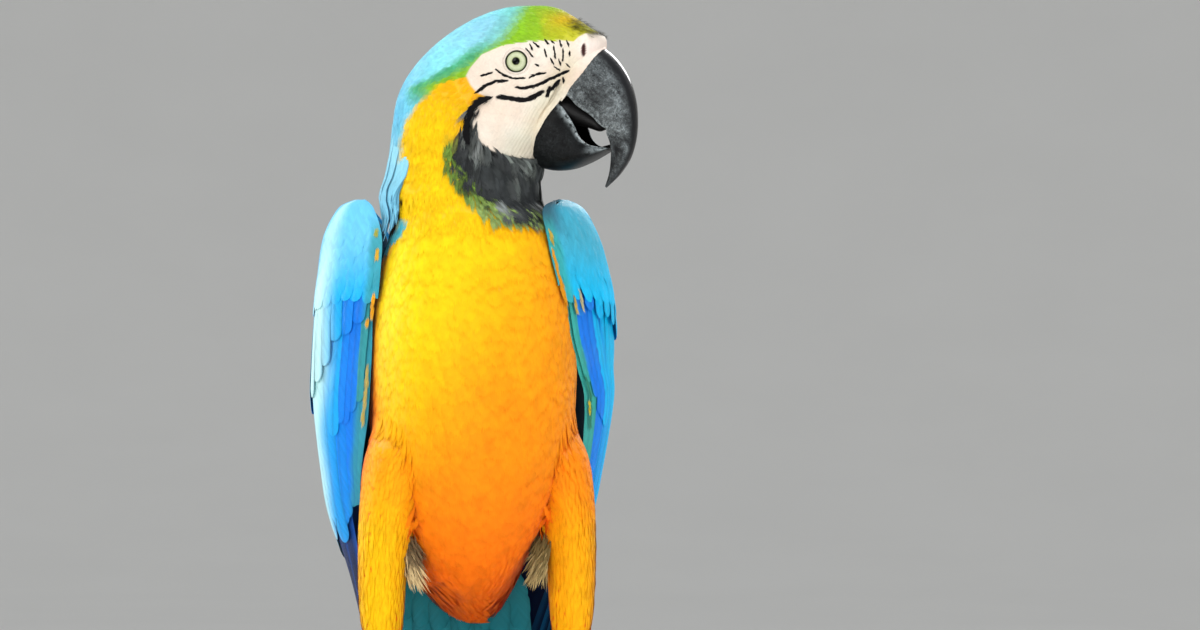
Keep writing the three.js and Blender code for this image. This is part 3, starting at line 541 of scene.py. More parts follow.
# How far the breast's yellow has turned to orange; then painted shade, more orange towards the
# bird's left, and painted light, less orange towards its right, the side that faces the key lamp.
BREAST = {
    "z": [505, 530, 557, 586, 622, 672, 700, 712],
    "orange": [1.0, 0.93, 0.84, 0.71, 0.63, 0.41, 0.29, 0.21],
    "painted_shade_left": [0.0, 0.0, 0.0, -0.02, 0.0, 0.18, 0.16, 0.08],
    "painted_light_right": [0.0, 0.02, 0.12, 0.18, 0.34, 0.34, 0.14, 0.0],
}

# A patch of blue beside the nape; painted shadow under the free edge of the nape flap; and a
# painted shadow line in the crease between belly and left flank, along the left wing's edge. Each
# is given as degrees round the body and heights.
NAPE_SPOT = [(-60, 700), (-70, 700.5), (-84, 694), (-100, 688), (-98, 683), (-79, 685.5), (-66, 691.5)]
NAPE_FLAP_SHADOW = [
    (-61, 714), (-66, 711.5), (-74, 705.5), (-85, 699.5), (-100, 692), (-98, 688), (-80, 695.5),
    (-70, 702), (-62, 708),
]
WING_EDGE_SHADOW_LINE = [(58.5, 652), (61.5, 632), (65.5, 610)]


def blend(a, b, share):
    """One colour laid over another, by a share for each place."""
    return a + (b - a) * np.clip(share, 0, 1)[..., None]


def ramp(colours, share):
    """The colour at a share of the way through a list of them."""
    share = np.clip(share, 0, 1) * (len(colours) - 1)
    row = np.clip(share.astype(int), 0, len(colours) - 2)
    colours = np.array(colours)
    return colours[row] + (colours[row + 1] - colours[row]) * (share - row)[..., None]


def yaw_at(z):
    return smooth(TRUNK["yaw"], row_at(TRUNK["z"], z))


def compass(points):
    """The angle round the body's middle line, 0 at the chest and rising to the bird's left."""
    place = row_at(TRUNK["z"], np.minimum(points[..., 2], TRUNK["z"][-1] - 0.01))
    x = points[..., 0] - smooth(TRUNK["x"], place)
    y = points[..., 1] - smooth(TRUNK["y"], place)
    return np.arctan2(x, -y)


def wrap(angle):
    """The same angle between minus and plus half a turn."""
    return (angle + math.pi) % (2 * math.pi) - math.pi


def waver(points, pitch, seed=0.0):
    """A smooth irregular field from about -1 to 1 with features about a pitch across."""
    x, y, z = (points[..., k] / pitch * 2.2 for k in range(3))
    return (
        np.sin(x + 1.7 * np.sin(0.9 * y + seed) + seed)
        + np.sin(1.3 * y + 1.6 * np.sin(1.1 * z + 2 * seed) + 0.7)
        + np.sin(0.8 * z + 1.5 * np.sin(0.7 * x + 3 * seed) + 2.1)
    ) / 2.2


def throat_share(points):
    """1 on the black throat, 0 off it."""
    along, _, z = head_place(points)
    edge = polygon_distance(THROAT, along, z) + 0.8 * waver(points, 5)
    return step_between(-0.6, 0.9, edge)


def plumage(points, legs=False):
    """The colour of the feathers over a place on the body."""
    along, _, z = head_place(points)
    x = points[..., 0]
    level = z + 3 * waver(points, 30)
    keys = ("orange", "painted_shade_left", "painted_light_right")
    mid, more, less = (np.interp(level, BREAST["z"], BREAST[key]) for key in keys)
    # Painted shade on the bird's left and painted light on its right.
    orange = mid + more * np.clip(x / 40, 0, 1.2) + less * np.clip(x / 40, -1.1, 0)
    degrees = np.degrees(compass(points))
    # Painted shade: deeper orange on the sides towards the wings, more so on the bird's right.
    flank_shade = step_between(66, 88, np.abs(degrees)) * step_between(704, 688, z)
    orange = orange + flank_shade * np.where(degrees < 0, 0.6, 0.25)
    near_throat = np.exp(-np.maximum(-polygon_distance(THROAT, along, z), 0) / 6)
    orange = orange + 0.15 * near_throat * step_between(726, 740, z)
    orange = orange + 0.18 * step_between(752, 772, z)
    if legs:
        thigh = 0.43 + 0.05 * waver(points, 22) + 0.09 * np.clip(x / 50, -1, 1)
        orange = lerp(thigh, orange, step_between(545, 585, z))
    tint = ramp([LEMON, GOLD, ORANGE, DEEP_ORANGE], orange)
    if legs:
        return tint

    back = np.degrees(np.abs(wrap(compass(points) - yaw_at(z) - math.pi)))
    edge = np.interp(z, NAPE_EDGE["z"], NAPE_EDGE["degrees"]) - back + 3 * waver(points, 9, 1.0)
    blue = step_between(-3, 3, edge)
    blue = np.maximum(blue, step_between(773, 776, z + 0.8 * waver(points, 6)))
    crown = blend(SKY, TURQUOISE, step_between(-45, -10, along) * step_between(700, 740, z))
    crown = blend(crown, colour(156, 226, 246), 0.5 + 0.5 * waver(points, 16, 2.0))
    crown = blend(crown, SKY, step_between(712, 680, z))
    green_edge = along - np.interp(z, GREEN_EDGE["z"], GREEN_EDGE["along"])
    on_head = step_between(755, 768, z)
    sea = step_between(-12, -4, green_edge) * on_head * lerp(1, 0.35, step_between(782, 794, z))
    crown = blend(crown, SEA_GREEN, sea)
    crown = blend(crown, GREEN, step_between(-4, 7, green_edge) * on_head)
    crown = blend(crown, OLIVE, step_between(26, 52, along + 3 * waver(points, 8)) * 0.85)
    gilt = np.exp(-(((along - 46) / 7) ** 2) - ((z - 802) / 4) ** 2)
    crown = blend(crown, colour(236, 178, 26), 0.55 * gilt)
    crown = blend(crown, BRISTLE, step_between(56, 61.5, along + waver(points, 3)))
    tint = blend(tint, crown, blue)

    seam = np.exp(-((edge / 5) ** 2)) * step_between(765, 772, z)
    tint = blend(tint, GREEN, 0.7 * seam)
    spot = polygon_distance(NAPE_SPOT, degrees, z) + 0.8 * waver(points, 5)
    tint = blend(tint, colour(92, 204, 222), step_between(-0.8, 0.8, spot))
    # Painted shadow under the free edge of the nape flap.
    gap = polygon_distance(NAPE_FLAP_SHADOW, degrees, z) + 0.3 * waver(points, 3)
    tint = blend(tint, colour(52, 36, 16), step_between(-0.5, 0.9, gap))
    # Painted shadow: the tint darkened to 0.3 of itself along the crease at the left wing's edge.
    line = line_distance(WING_EDGE_SHADOW_LINE, degrees, z)
    tint = blend(tint, tint * 0.3, step_between(1.5, 0.2, line))

    fringe = polygon_distance(THROAT, along, z) + 1.2 * waver(points, 6, 4.0)
    fringe_share = step_between(-6.5, -2.5, fringe) * step_between(746, 736, z)
    tint = blend(tint, MOSS, 0.85 * fringe_share)
    return blend(tint, THROAT_BLACK, throat_share(points))


def bare_tint(points):
    """The colour of the bare skin."""
    along, _, z = head_place(points)
    tint = blend(FACE_WHITE + 0 * points, colour(236, 218, 200), 0.5 + 0.5 * waver(points, 12))
    beside_bill = step_between(10, 0, np.abs(along - 34 - (z - 750) * 0.55))
    tint = blend(tint, colour(226, 222, 190), 0.5 * beside_bill)
    below = step_between(752, 738, z) * step_between(10, 24, along)
    tint = blend(tint, colour(204, 198, 180), 0.8 * below)
    cere = np.exp(-(((along - 60) / 7) ** 2 + ((z - 787) / 7) ** 2))
    tint = blend(tint, colour(254, 238, 228), cere)
    # The nostril is dark red: its own colour, darkened as painted shade in its hollow.
    tint = blend(tint, colour(60, 14, 14), step_between(1.2, 0.8, nostril_distance(along, z)))
    for line, width in FACE_LINES:
        gap = line_distance(line, along, z) + 0.15 * waver(points, 2)
        tint = blend(tint, LINE_BLACK, step_between(0.5 * width, 0.3 * width, gap))
    return tint


def face_tint(points):
    return blend(bare_tint(points), colour(12, 10, 12), mouth_share(points))


def mouth_share(points):
    """1 in the open mouth's lining, ahead of the cheeks."""
    along, right, z = head_place(points)
    ahead = along - np.interp(z, MOUTH_EDGE["z"], MOUTH_EDGE["along"])
    ahead = ahead + 6 * step_between(17, 13, np.abs(right)) * step_between(30, 36, along)
    return step_between(0, 1.6, ahead) * step_between(770, 767, z) * step_between(733, 737, z)


def face_share(points):
    """1 on the bare skin of the face, 0 under feathers."""
    along, _, z = head_place(points)
    return step_between(-0.35, 0.35, polygon_distance(FACE, along, z))


# ---------------------------------------------------------------- meshes
def grid_faces(rows, columns, closed=False):
    """The four-sided faces of a grid of points, row by row, closed across its columns or not."""
    i, j = np.meshgrid(np.arange(rows - 1), np.arange(columns if closed else columns - 1), indexing="ij")
    k = (j + 1) % columns
    a, b = i * columns + j, i * columns + k
    return np.stack([a, b, b + columns, a + columns], -1).reshape(-1, 4)


def new_object(name, points, faces, material, slot, tint=None, maps=None):
    """A piece of the bird or its stand. faces is one array, or several of different widths. tint
    is a colour for each point, and maps gives UV maps with a place for each point or corner."""
    faces = [np.asarray(f) for f in (faces if isinstance(faces, (list, tuple)) else [faces])]
    mesh = bpy.data.meshes.new(name)
    mesh.vertices.add(len(points))
    mesh.vertices.foreach_set("co", (np.asarray(points) * MM).astype(np.float32).ravel())
    corners = np.concatenate([f.ravel() for f in faces]).astype(np.int32)
    sizes = np.concatenate([np.full(len(f), f.shape[1]) for f in faces])
    mesh.loops.add(len(corners))
    mesh.loops.foreach_set("vertex_index", corners)
    mesh.polygons.add(len(sizes))
    mesh.polygons.foreach_set("loop_start", (np.cumsum(sizes) - sizes).astype(np.int32))
    mesh.polygons.foreach_set("use_smooth", np.ones(len(sizes), bool))
    for key, places in (maps or {}).items():
        places = np.asarray(places)
        if len(places) == len(points):
            places = places[corners]
        mesh.uv_layers.new(name=key).uv.foreach_set("vector", places.astype(np.float32).ravel())
    if tint is not None:
        set_tint(mesh, tint)
    mesh.update(calc_edges=True)
    mesh.materials.append(material)
    piece = bpy.data.objects.new(name, mesh)
    bpy.context.scene.collection.objects.link(piece)
    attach(piece, "root")
    return piece


def set_tint(mesh, tint):
    layer = mesh.color_attributes.new("Tint", "FLOAT_COLOR", "POINT")
    whole = np.concatenate([tint, np.ones((len(tint), 1))], 1)
    layer.data.foreach_set("color", whole.astype(np.float32).ravel())


def joined(parts):
    """Points and faces of several (points, faces) as one."""
    start = 0
    points, faces = [], []
    for part_points, part_faces in parts:
        points.append(part_points.reshape(-1, 3))
        faces.append(part_faces + start)
        start += len(points[-1])
    return np.concatenate(points), np.concatenate(faces)


def capped(rings):
    """A closed surface of triangles through rings of points, (rings, sides, 3)."""
    count, sides, _ = rings.shape
    quads = grid_faces(count, sides, closed=True)
    points = np.concatenate([rings.reshape(-1, 3), rings[0].mean(0)[None], rings[-1].mean(0)[None]])
    first, last = len(points) - 2, len(points) - 1
    j = np.arange(sides)
    k = (j + 1) % sides
    base = (count - 1) * sides
    start = np.stack([k, j, np.full(sides, first)], 1)
    end = np.stack([base + j, base + k, np.full(sides, last)], 1)
    return points, np.concatenate([quads[:, [0, 1, 2]], quads[:, [0, 2, 3]], start, end])


def lathe(profile, sides):
    """Rings round the vertical axis for a profile of (radius, height)."""
    turns = full_turn(sides)
    return np.array([[(r * math.cos(a), r * math.sin(a), h) for a in turns] for r, h in profile])


# ---------------------------------------------------------------- materials
class Finish:
    """A material made of nodes, with short ways to add the nodes that recur."""

    def __init__(self, name, roughness, **values):
        self.material = bpy.data.materials.new(name)
        self.material.use_nodes = True
        self.tree = self.material.node_tree
        self.shader = self.tree.nodes["Principled BSDF"]
        self.shader.inputs["Roughness"].default_value = roughness
        for key, value in values.items():
            self.shader.inputs[key.replace("_", " ")].default_value = value

    def add(self, kind, **values):
        node = self.tree.nodes.new(kind)
        for key, value in values.items():
            if hasattr(node, key):
                setattr(node, key, value)
            else:
                self.put(node.inputs[key], value)
        return node

    def put(self, socket, value):
        if isinstance(value, bpy.types.NodeSocket):
            self.tree.links.new(value, socket)
        elif isinstance(value, np.ndarray) and socket.type == "RGBA":
            socket.default_value = (*value, 1)
        else:
            socket.default_value = value

    def place(self, map_name=None):
        if map_name:
            return self.add("ShaderNodeUVMap", uv_map=map_name).outputs["UV"]
        return self.add("ShaderNodeTexCoord").outputs["Object"]

    def tint(self):
        return self.add("ShaderNodeAttribute", attribute_name="Tint").outputs["Color"]

    def value(self, name):
        return self.add("ShaderNodeAttribute", attribute_name=name).outputs["Fac"]

    def stretched(self, *scale):
        """Places squeezed along the axes whose scale is small, so that patterns run along them."""
        return self.add("ShaderNodeMapping", Vector=self.place(), Scale=scale).outputs[0]

    def cells(self, scale):
        """The distance to the nearest edge of a pattern of cells."""
        node = self.add("ShaderNodeTexVoronoi", Scale=scale, feature="DISTANCE_TO_EDGE")
        self.put(node.inputs["Vector"], self.place())
        return node.outputs["Distance"]

    def noise(self, scale, detail, rough=0.5, place=None, warp=0.0):
        kind = "ShaderNodeTexNoise"
        node = self.add(kind, Scale=scale, Detail=detail, Roughness=rough, Distortion=warp)
        self.put(node.inputs["Vector"], place or self.place())
        return node.outputs["Fac"]

    def math(self, operation, a, b=0.0):
        node = self.add("ShaderNodeMath", operation=operation)
        self.put(node.inputs[0], a)
        self.put(node.inputs[1], b)
        return node.outputs[0]

    def times(self, a, b):
        return self.math("MULTIPLY", a, b)

    def between(self, value, low, high, to_low=0.0, to_high=1.0):
        """A value between low and high as one between to_low and to_high."""
        node = self.add("ShaderNodeMapRange")
        for socket, item in zip(node.inputs, (value, low, high, to_low, to_high)):
            self.put(socket, item)
        return node.outputs["Result"]

    def mix(self, share, a, b, way="MIX"):
        """A colour between two others. The node's colour sockets are its inputs 6 and 7."""
        node = self.add("ShaderNodeMix", data_type="RGBA", blend_type=way)
        for key, item in ((0, share), (6, a), (7, b)):
            self.put(node.inputs[key], item)
        return node.outputs[2]

    def shaded(self, shade):
        """The piece's own tint, darkened or lightened."""
        return self.mix(1.0, self.tint(), shade, "MULTIPLY")

    def bump(self, height, distance, strength):
        node = self.add("ShaderNodeBump", Strength=strength, Distance=distance * MM, Height=height)
        return node.outputs["Normal"]

    def finish(self, **inputs):
        for key, value in inputs.items():
            self.put(self.shader.inputs[key.replace("_", " ")], value)
        return self.material


BARB_PITCH = 0.00055  # from one barb of a firm feather to the next, in metres
GROWTH_RING = 0.0021  # from one ring of the cut wood to the next, in metres
HORN_HAZE = colour(190, 201, 204)


def plume_finish():
    """Soft feathers: the point's own tint, mottled a little."""
    f = Finish("plume", 0.62, Sheen_Weight=0.06, Sheen_Roughness=0.4, Specular_IOR_Level=0.1)
    return f.finish(Base_Color=f.shaded(f.between(f.noise(140, 4), 0.3, 0.7, 0.9, 1.08)))


def vane_finish():
    """Firm feathers: fine barbs that slant from the shaft, read from the Vane map in metres."""
    f = Finish("vane", 0.42, Sheen_Weight=0.01, Sheen_Roughness=0.3, Specular_IOR_Level=0.12)
    parts = f.add("ShaderNodeSeparateXYZ", Vector=f.place("Vane"))
    across = f.math("ABSOLUTE", parts.outputs["X"])
    slant = f.math("SUBTRACT", parts.outputs["Y"], f.times(across, 1.5))
    wave = f.math("SINE", f.times(slant, 2 * math.pi / BARB_PITCH))
    streak = f.noise(260, 3, place=f.add("ShaderNodeCombineXYZ", X=slant).outputs[0])
    # The barbs' wave also darkens the grooves between barbs a little: painted shade.
    shade = f.times(f.between(streak, 0.3, 0.7, 0.88, 1.08), f.between(wave, -1, 1, 0.97, 1.02))
    return f.finish(Base_Color=f.shaded(shade), Normal=f.bump(wave, 0.05, 0.6))


def skin_finish():
    """Bare skin where the tint is pale, with pores and fine wrinkles."""
    f = Finish("skin", 0.55, Specular_IOR_Level=0.35)
    wrinkles = f.noise(420, 5, 0.6, warp=1.2)
    height = f.math("ADD", wrinkles, f.times(f.cells(1100.0), 0.8))
    tint = f.mix(f.between(f.noise(90, 4), 0.35, 0.75, 0, 0.35), f.tint(), f.shaded(CERE_PINK))
    # Painted shade: darker in the wrinkles' hollows and lighter on their crests.
    shade = f.between(wrinkles, 0.3, 0.7, 0.9, 1.04)
    return f.finish(Base_Color=f.mix(1.0, tint, shade, "MULTIPLY"), Normal=f.bump(height, 0.25, 0.7))


def bill_finish(name, specular):
    """Black horn with a grey haze and thin pale scratches in worn patches. The points' Wear is
    1 at worn rims, Scuff 1 where the horn may be scuffed and Ridge 1 on the glossy ridge."""
    f = Finish(name, 0.35, Specular_IOR_Level=specular)
    patch = f.between(f.noise(52, 4, 0.6, warp=0.6), 0.36, 0.6)
    scratches = 0.0
    for scale, thin in ((210, 0.03), (380, 0.045)):
        line = f.math("ABSOLUTE", f.math("SUBTRACT", f.noise(scale, 2, 0.5, warp=1.2), 0.5))
        scratches = f.math("MAXIMUM", f.between(line, thin, 0.1 * thin), scratches)
    grit = f.between(f.noise(900, 3, 0.7), 0.36, 0.62, 0, 0.42)
    haze = f.between(f.noise(240, 6, 0.7, warp=0.8), 0.34, 0.68, 0.02, 0.44)
    worn = f.math("ADD", f.times(patch, f.times(scratches, grit)), f.times(patch, haze))
    rim = f.times(f.value("Wear"), f.between(f.noise(520, 4, 0.6), 0.36, 0.58, 0, 0.8))
    worn = f.math("MAXIMUM", f.times(worn, f.value("Scuff")), rim)
    base = f.mix(f.noise(30, 2), f.shaded(colour(200, 205, 215)), f.tint())
    rough = f.between(worn, 0, 1, f.between(f.value("Ridge"), 0, 1, 0.44, 0.2), 0.75)
    relief = f.bump(f.math("ADD", worn, f.noise(500, 4)), 0.08, 0.4)
    return f.finish(Base_Color=f.mix(worn, base, HORN_HAZE), Roughness=rough, Normal=relief)


def eye_finish():
    """A wet eye: the tint is the iris, streaked from the pupil outwards through the Vane map."""
    f = Finish("eye", 0.08, Specular_IOR_Level=0.1)
    parts = f.add("ShaderNodeSeparateXYZ", Vector=f.place("Vane"))
    turn = f.times(parts.outputs["X"], 2 * math.pi)
    ring = f.add(
        "ShaderNodeCombineXYZ",
        X=f.times(f.math("COSINE", turn), 6.0),
        Y=f.times(f.math("SINE", turn), 6.0),
        Z=f.times(parts.outputs["Y"], 2.0),
    ).outputs[0]
    streak = f.between(f.noise(2.4, 4, 0.6, place=ring), 0.3, 0.7, 0.86, 1.06)
    return f.finish(Base_Color=f.shaded(streak))


def scute_finish():
    f = Finish("foot_skin", 0.5, Specular_IOR_Level=0.45)
    edge = f.between(f.cells(620.0), 0.0, 0.12)
    base = f.mix(f.noise(160, 4), colour(58, 57, 58), colour(96, 92, 90))
    tint = f.mix(edge, colour(34, 33, 34), base)
    return f.finish(Base_Color=tint, Normal=f.bump(edge, 0.2, 0.7))


def claw_finish():
    f = Finish("claw_horn", 0.28, Specular_IOR_Level=0.5)
    streak = f.noise(700, 4, place=f.stretched(1.0, 1.0, 0.3))
    tint = f.mix(f.between(streak, 0.35, 0.8), colour(14, 14, 15), colour(60, 56, 52))
    return f.finish(Base_Color=tint, Normal=f.bump(streak, 0.08, 0.5))


def bark_finish():
    f = Finish("bark", 0.85, Specular_IOR_Level=0.2)
    grain = f.stretched(0.16, 1.0, 1.0)
    fibres = f.noise(300, 6, 0.62, place=grain, warp=0.8)
    patch = f.between(f.noise(28, 4, 0.6, place=grain), 0.4, 0.6)
    wood = f.mix(fibres, colour(120, 84, 58), colour(196, 156, 118))
    crust = f.mix(fibres, colour(70, 46, 32), colour(136, 96, 68))
    crack = f.between(f.noise(190, 5, 0.7, place=grain, warp=2.0), 0.32, 0.44)
    tint = f.mix(crack, colour(44, 30, 22), f.mix(patch, crust, wood))
    height = f.math("ADD", fibres, f.times(crack, 0.8))
    return f.finish(Base_Color=tint, Normal=f.bump(height, 0.7, 0.8))


def cut_wood_finish():
    f = Finish("cut_wood", 0.75, Specular_IOR_Level=0.2)
    parts = f.add("ShaderNodeSeparateXYZ", Vector=f.place("Vane"))
    reach = f.math("ADD", parts.outputs["X"], f.times(f.noise(60, 3), 0.004))
    ring = f.math("SINE", f.times(reach, 2 * math.pi / GROWTH_RING))
    tint = f.mix(f.between(ring, -1, 1), colour(176, 132, 90), colour(214, 176, 132))
    return f.finish(Base_Color=tint, Normal=f.bump(ring, 0.12, 0.5))


def steel_finish():
    f = Finish("rod_steel", 0.3, Metallic=1.0)
    lines = f.noise(2600, 3, place=f.stretched(1.0, 1.0, 0.02))
    tint = f.mix(lines, colour(150, 152, 156), colour(196, 198, 200))
    rough = f.between(lines, 0, 1, 0.24, 0.42)
    return f.finish(Base_Color=tint, Roughness=rough, Normal=f.bump(lines, 0.02, 0.4))


def base_wood_finish():
    f = Finish("base_wood", 0.4, Coat_Weight=0.25, Coat_Roughness=0.25, Specular_IOR_Level=0.4)
    grain = f.stretched(0.08, 1.0, 1.0)
    fibres = f.noise(420, 6, 0.6, place=grain, warp=0.4)
    bands = f.noise(46, 3, 0.5, place=grain, warp=1.4)
    dark = f.mix(fibres, colour(52, 33, 22), colour(86, 56, 37))
    tint = f.mix(f.between(bands, 0.4, 0.62), dark, colour(112, 74, 48))
    return f.finish(Base_Color=tint, Normal=f.bump(fibres, 0.1, 0.4))


# ---------------------------------------------------------------- skin
COAT_DEPTH = {"crown": 0.9, "throat": 2.6, "neck": 1.3, "torso": 1.5, "leg": 1.3}
VENT_HOLLOW = 7.0  # how much deeper the skin lies at the vent's right, where tail feathers pass
SKIN_ROWS = {"torso": 4.0, "neck": 1.3, "face": 0.5, "crown": 26}
SKIN_COLUMNS = {"face": 0.5, "nape": 1.3}
LEG_SIDES = 48
SOCKET_DEPTH = 3.2
MOUTH_DEPTH = 5.0


def coat_depth(points):
    """How deep the skin lies under the feathers' outer surface."""
    along, _, z = head_place(points)
    depth = lerp(COAT_DEPTH["torso"], COAT_DEPTH["neck"], step_between(690, 730, z))
    depth = lerp(depth, COAT_DEPTH["crown"], step_between(735, 775, z))
    depth = lerp(depth, COAT_DEPTH["throat"], throat_share(points) * step_between(700, 715, z))
    hollow = VENT_HOLLOW * step_between(527, 504, z) * step_between(4, -16, points[..., 0])
    bare = step_between(-2.5, 0.2, polygon_distance(FACE, along, z))
    return (depth + hollow) * (1 - bare)


def nostril_distance(along, z):
    """0 at the nostril's middle and 1 on its rim."""
    lean = along - NOSTRIL["along"] - 0.1 * (z - NOSTRIL["z"])
    return np.hypot(lean / NOSTRIL["wide"], (z - NOSTRIL["z"]) / NOSTRIL["high"])


def face_relief(points):
    """Height of the bare skin's folds, and of the hollows for eyes and nostrils."""
    along, _, z = head_place(points)
    relief = 0 * z
    for line, width in FACE_LINES:
        gap = line_distance(line, along, z)
        relief = relief - 0.22 * np.exp(-((gap / (0.8 * width)) ** 2))
        relief = relief + 0.12 * np.exp(-(((gap - 1.7 * width) / (0.7 * width)) ** 2))
    from_eye = np.hypot(along - EYE["along"], z - EYE["z"])
    round_eye = np.exp(-(((from_eye - 10) / 2.2) ** 2))
    relief = relief + 0.08 * (np.cos(2 * math.pi * (from_eye - LID["outer"]) / 1.5) * round_eye)
    # Creases run beside the bill's edge and fade towards the nape.
    crease = (z - 1.8 * along) / 2.06
    near_bill = step_between(6, 30, along) * step_between(786, 770, z)
    relief = relief + 0.085 * near_bill * np.sin(2 * math.pi * crease / 1.35 + 1.3 * waver(points, 6))
    # The cere swells round the nostril.
    relief = relief + 1.2 * np.exp(-(((along - 58.5) / 6.5) ** 2 + ((z - 786.5) / 6) ** 2))
    nostril = nostril_distance(along, z)
    relief = relief - NOSTRIL["deep"] * step_between(1.4, 0.3, nostril)
    relief = relief + 0.25 * np.exp(-(((nostril - 1.8) / 0.5) ** 2))
    relief = relief * face_share(points)
    socket = step_between(LID["outer"] - 1.4, LID["outer"] - 2.6, from_eye)
    return relief - SOCKET_DEPTH * socket - MOUTH_DEPTH * mouth_share(points)


def skin_heights():
    """Row places of the skin, closest over the face."""
    heights = np.concatenate(
        [
            np.arange(TRUNK["z"][0], 714, SKIN_ROWS["torso"]),
            np.arange(714, 730, SKIN_ROWS["neck"]),
            np.arange(730, 800, SKIN_ROWS["face"]),
        ]
    )
    places = row_at(TRUNK["z"], heights)
    crown = np.linspace(row_at(TRUNK["z"], 800), TRUNK_TOP - 0.06, SKIN_ROWS["crown"])
    return np.concatenate([places, crown])


def skin_angles():
    """Angles from the bill's direction, closest over the face."""
    angles = np.linspace(-math.pi, math.pi, 2881)
    ring = trunk_point(row_at(TRUNK["z"], 770.0) + 0 * angles, angles + HEAD_TURN)
    reach = np.linalg.norm(np.diff(ring, axis=0), axis=1)
    along = head_place((ring[1:] + ring[:-1]) / 2)[0]
    pitch = lerp(SKIN_COLUMNS["nape"], SKIN_COLUMNS["face"], step_between(-8, 0, along))
    share = np.concatenate([[0], np.cumsum(reach / pitch)])
    count = int(share[-1])
    return np.interp(np.arange(count) * share[-1] / count, share, angles)


def grid_normals(grid):
    """Normals of a grid that is closed across its columns."""
    down = np.gradient(grid, axis=0)
    across = np.roll(grid, -1, axis=1) - np.roll(grid, 1, axis=1)
    return unit(np.cross(across, down))


def trunk_skin():
    """The skin of body and head. Its columns turn with the head above the torso."""
    places = skin_heights()
    angles = skin_angles()
    yaw = HEAD_TURN * step_between(560, 725, smooth(TRUNK["z"], places))
    surface = trunk_point(places[:, None] + 0 * angles, yaw[:, None] + angles)
    normals = grid_normals(surface)
    middle = surface.mean(1, keepdims=True)
    normals = normals * np.sign(dot(normals, surface - middle))
    relief = face_relief(surface) - coat_depth(surface)
    return capped(surface + normals * relief[..., None])


def leg_aside(side, x, z):
    """Where a leg stands across, from its distance to the midline and its height."""
    share = np.clip((LEG[-1][0] - z) / (LEG[-1][0] - LEG[0][0]), 0, 1)
    return side * (x + STANCE[side] * share)


def leg_point(side, place, angle, inset):
    """A leg's surface at a row place of its table, less an inset."""
    z, x, y, wide, deep = columns(LEG, place, *range(5))
    x = leg_aside(side, x, z) + (wide - inset) * np.cos(angle)
    return np.stack([x, y + (deep - inset) * np.sin(angle), z + 0 * angle], -1)


def leg_skin(side):
    places = np.linspace(0, len(LEG) - 1, 40)[:, None]
    angles = full_turn(LEG_SIDES)[None]
    return capped(leg_point(side, places + 0 * angles, angles + 0 * places, COAT_DEPTH["leg"]))


def read_values(items, key, size, kind):
    """The values of one key of mesh elements, as rows of some size."""
    values = np.empty(len(items) * size, kind)
    items.foreach_get(key, values)
    return values.reshape(-1, size)


def united(pieces):
    """The union of closed meshes, as points, triangles and the number of the piece that each
    triangle comes from."""
    markers = [bpy.data.materials.new(f"part_{k}") for k in range(len(pieces))]
    made = []
    for number, (points, faces) in enumerate(pieces):
        mesh = bpy.data.meshes.new(f"part_{number}")
        mesh.from_pydata(points.tolist(), [], faces.tolist())
        for marker in markers:
            mesh.materials.append(marker)
        mesh.polygons.foreach_set("material_index", np.full(len(faces), number))
        piece = bpy.data.objects.new(f"part_{number}", mesh)
        bpy.context.scene.collection.objects.link(piece)
        made.append(piece)
    for other in made[1:]:
        union = made[0].modifiers.new("union", "BOOLEAN")
        union.operation = "UNION"
        union.solver = "MANIFOLD"
        union.object = other
    whole = made[0].evaluated_get(bpy.context.evaluated_depsgraph_get()).to_mesh()
    whole.calc_loop_triangles()
    points = read_values(whole.vertices, "co", 3, float)
    faces = read_values(whole.loop_triangles, "vertices", 3, np.int32)
    number = read_values(whole.loop_triangles, "material_index", 1, np.int32)[:, 0]
    made[0].to_mesh_clear()
    for piece in made:
        mesh = piece.data
        bpy.data.objects.remove(piece)
        bpy.data.meshes.remove(mesh)
    for marker in markers:
        bpy.data.materials.remove(marker)
    return points, faces, number


# ---------------------------------------------------------------- bake map
LEG_PARTS = ((1, 1), (2, -1))  # the skin's part number and the side of each leg
LEG_MAP = {1: 0.74, -1: 0.87}  # where each leg's strip of the map starts
MAP_MARGIN = 0.02
MAP_SPAN = 0.96
MAP_WIDTH = {"trunk": 0.68, "leg": 0.11}
WING_MAP = {"low": 340, "height": 380, "margin": 0.03, "span": 0.94}
TAIL_MAP = {"across": 0.012, "height": 520}
MAP_SPOT = 0.0015  # half the size of one feather's spot


def unwrapped(start, width, angle, share):
    """A place on a strip of the map, from an angle round and a share of the height."""
    return np.stack([start + width * (angle / (2 * math.pi) + 0.5), MAP_MARGIN + MAP_SPAN * share], -1)


def trunk_map(points, turn=None):
    """Places on the unwrap of the trunk's skin. turn is the angle that u is measured near."""
    angle = compass(points)
    if turn is not None:
        angle = turn + wrap(angle - turn)
    place = row_at(TRUNK["z"], np.clip(points[..., 2], TRUNK["z"][0], TRUNK["z"][-1] - 0.01))
    return unwrapped(MAP_MARGIN, MAP_WIDTH["trunk"], angle, place / TRUNK_TOP)


def leg_map(points, side, turn=None):
    """The same on a leg's skin."""
    place = row_of(LEG, np.clip(points[..., 2], LEG[0][0], LEG[-1][0]))
    z, x, y = columns(LEG, place, 0, 1, 2)
    angle = np.arctan2(points[..., 1] - y, points[..., 0] - leg_aside(side, x, z))
    if turn is not None:
        angle = turn + wrap(angle - turn)
    return unwrapped(LEG_MAP[side], MAP_WIDTH["leg"], angle, place / (len(LEG) - 1))


def skin_bake_map(points, faces, number):
    """A place on the bake map for each corner of the skin."""
    corners = points[faces]
    places = trunk_map(corners, compass(corners.mean(1))[:, None])
    for part, side in LEG_PARTS:
        here = number == part
        leg = corners[here]
        turn = (leg_map(leg.mean(1), side)[:, 0] - LEG_MAP[side]) / MAP_WIDTH["leg"]
        places[here] = leg_map(leg, side, ((turn - 0.5) * 2 * math.pi)[:, None])
    return places.reshape(-1, 2)


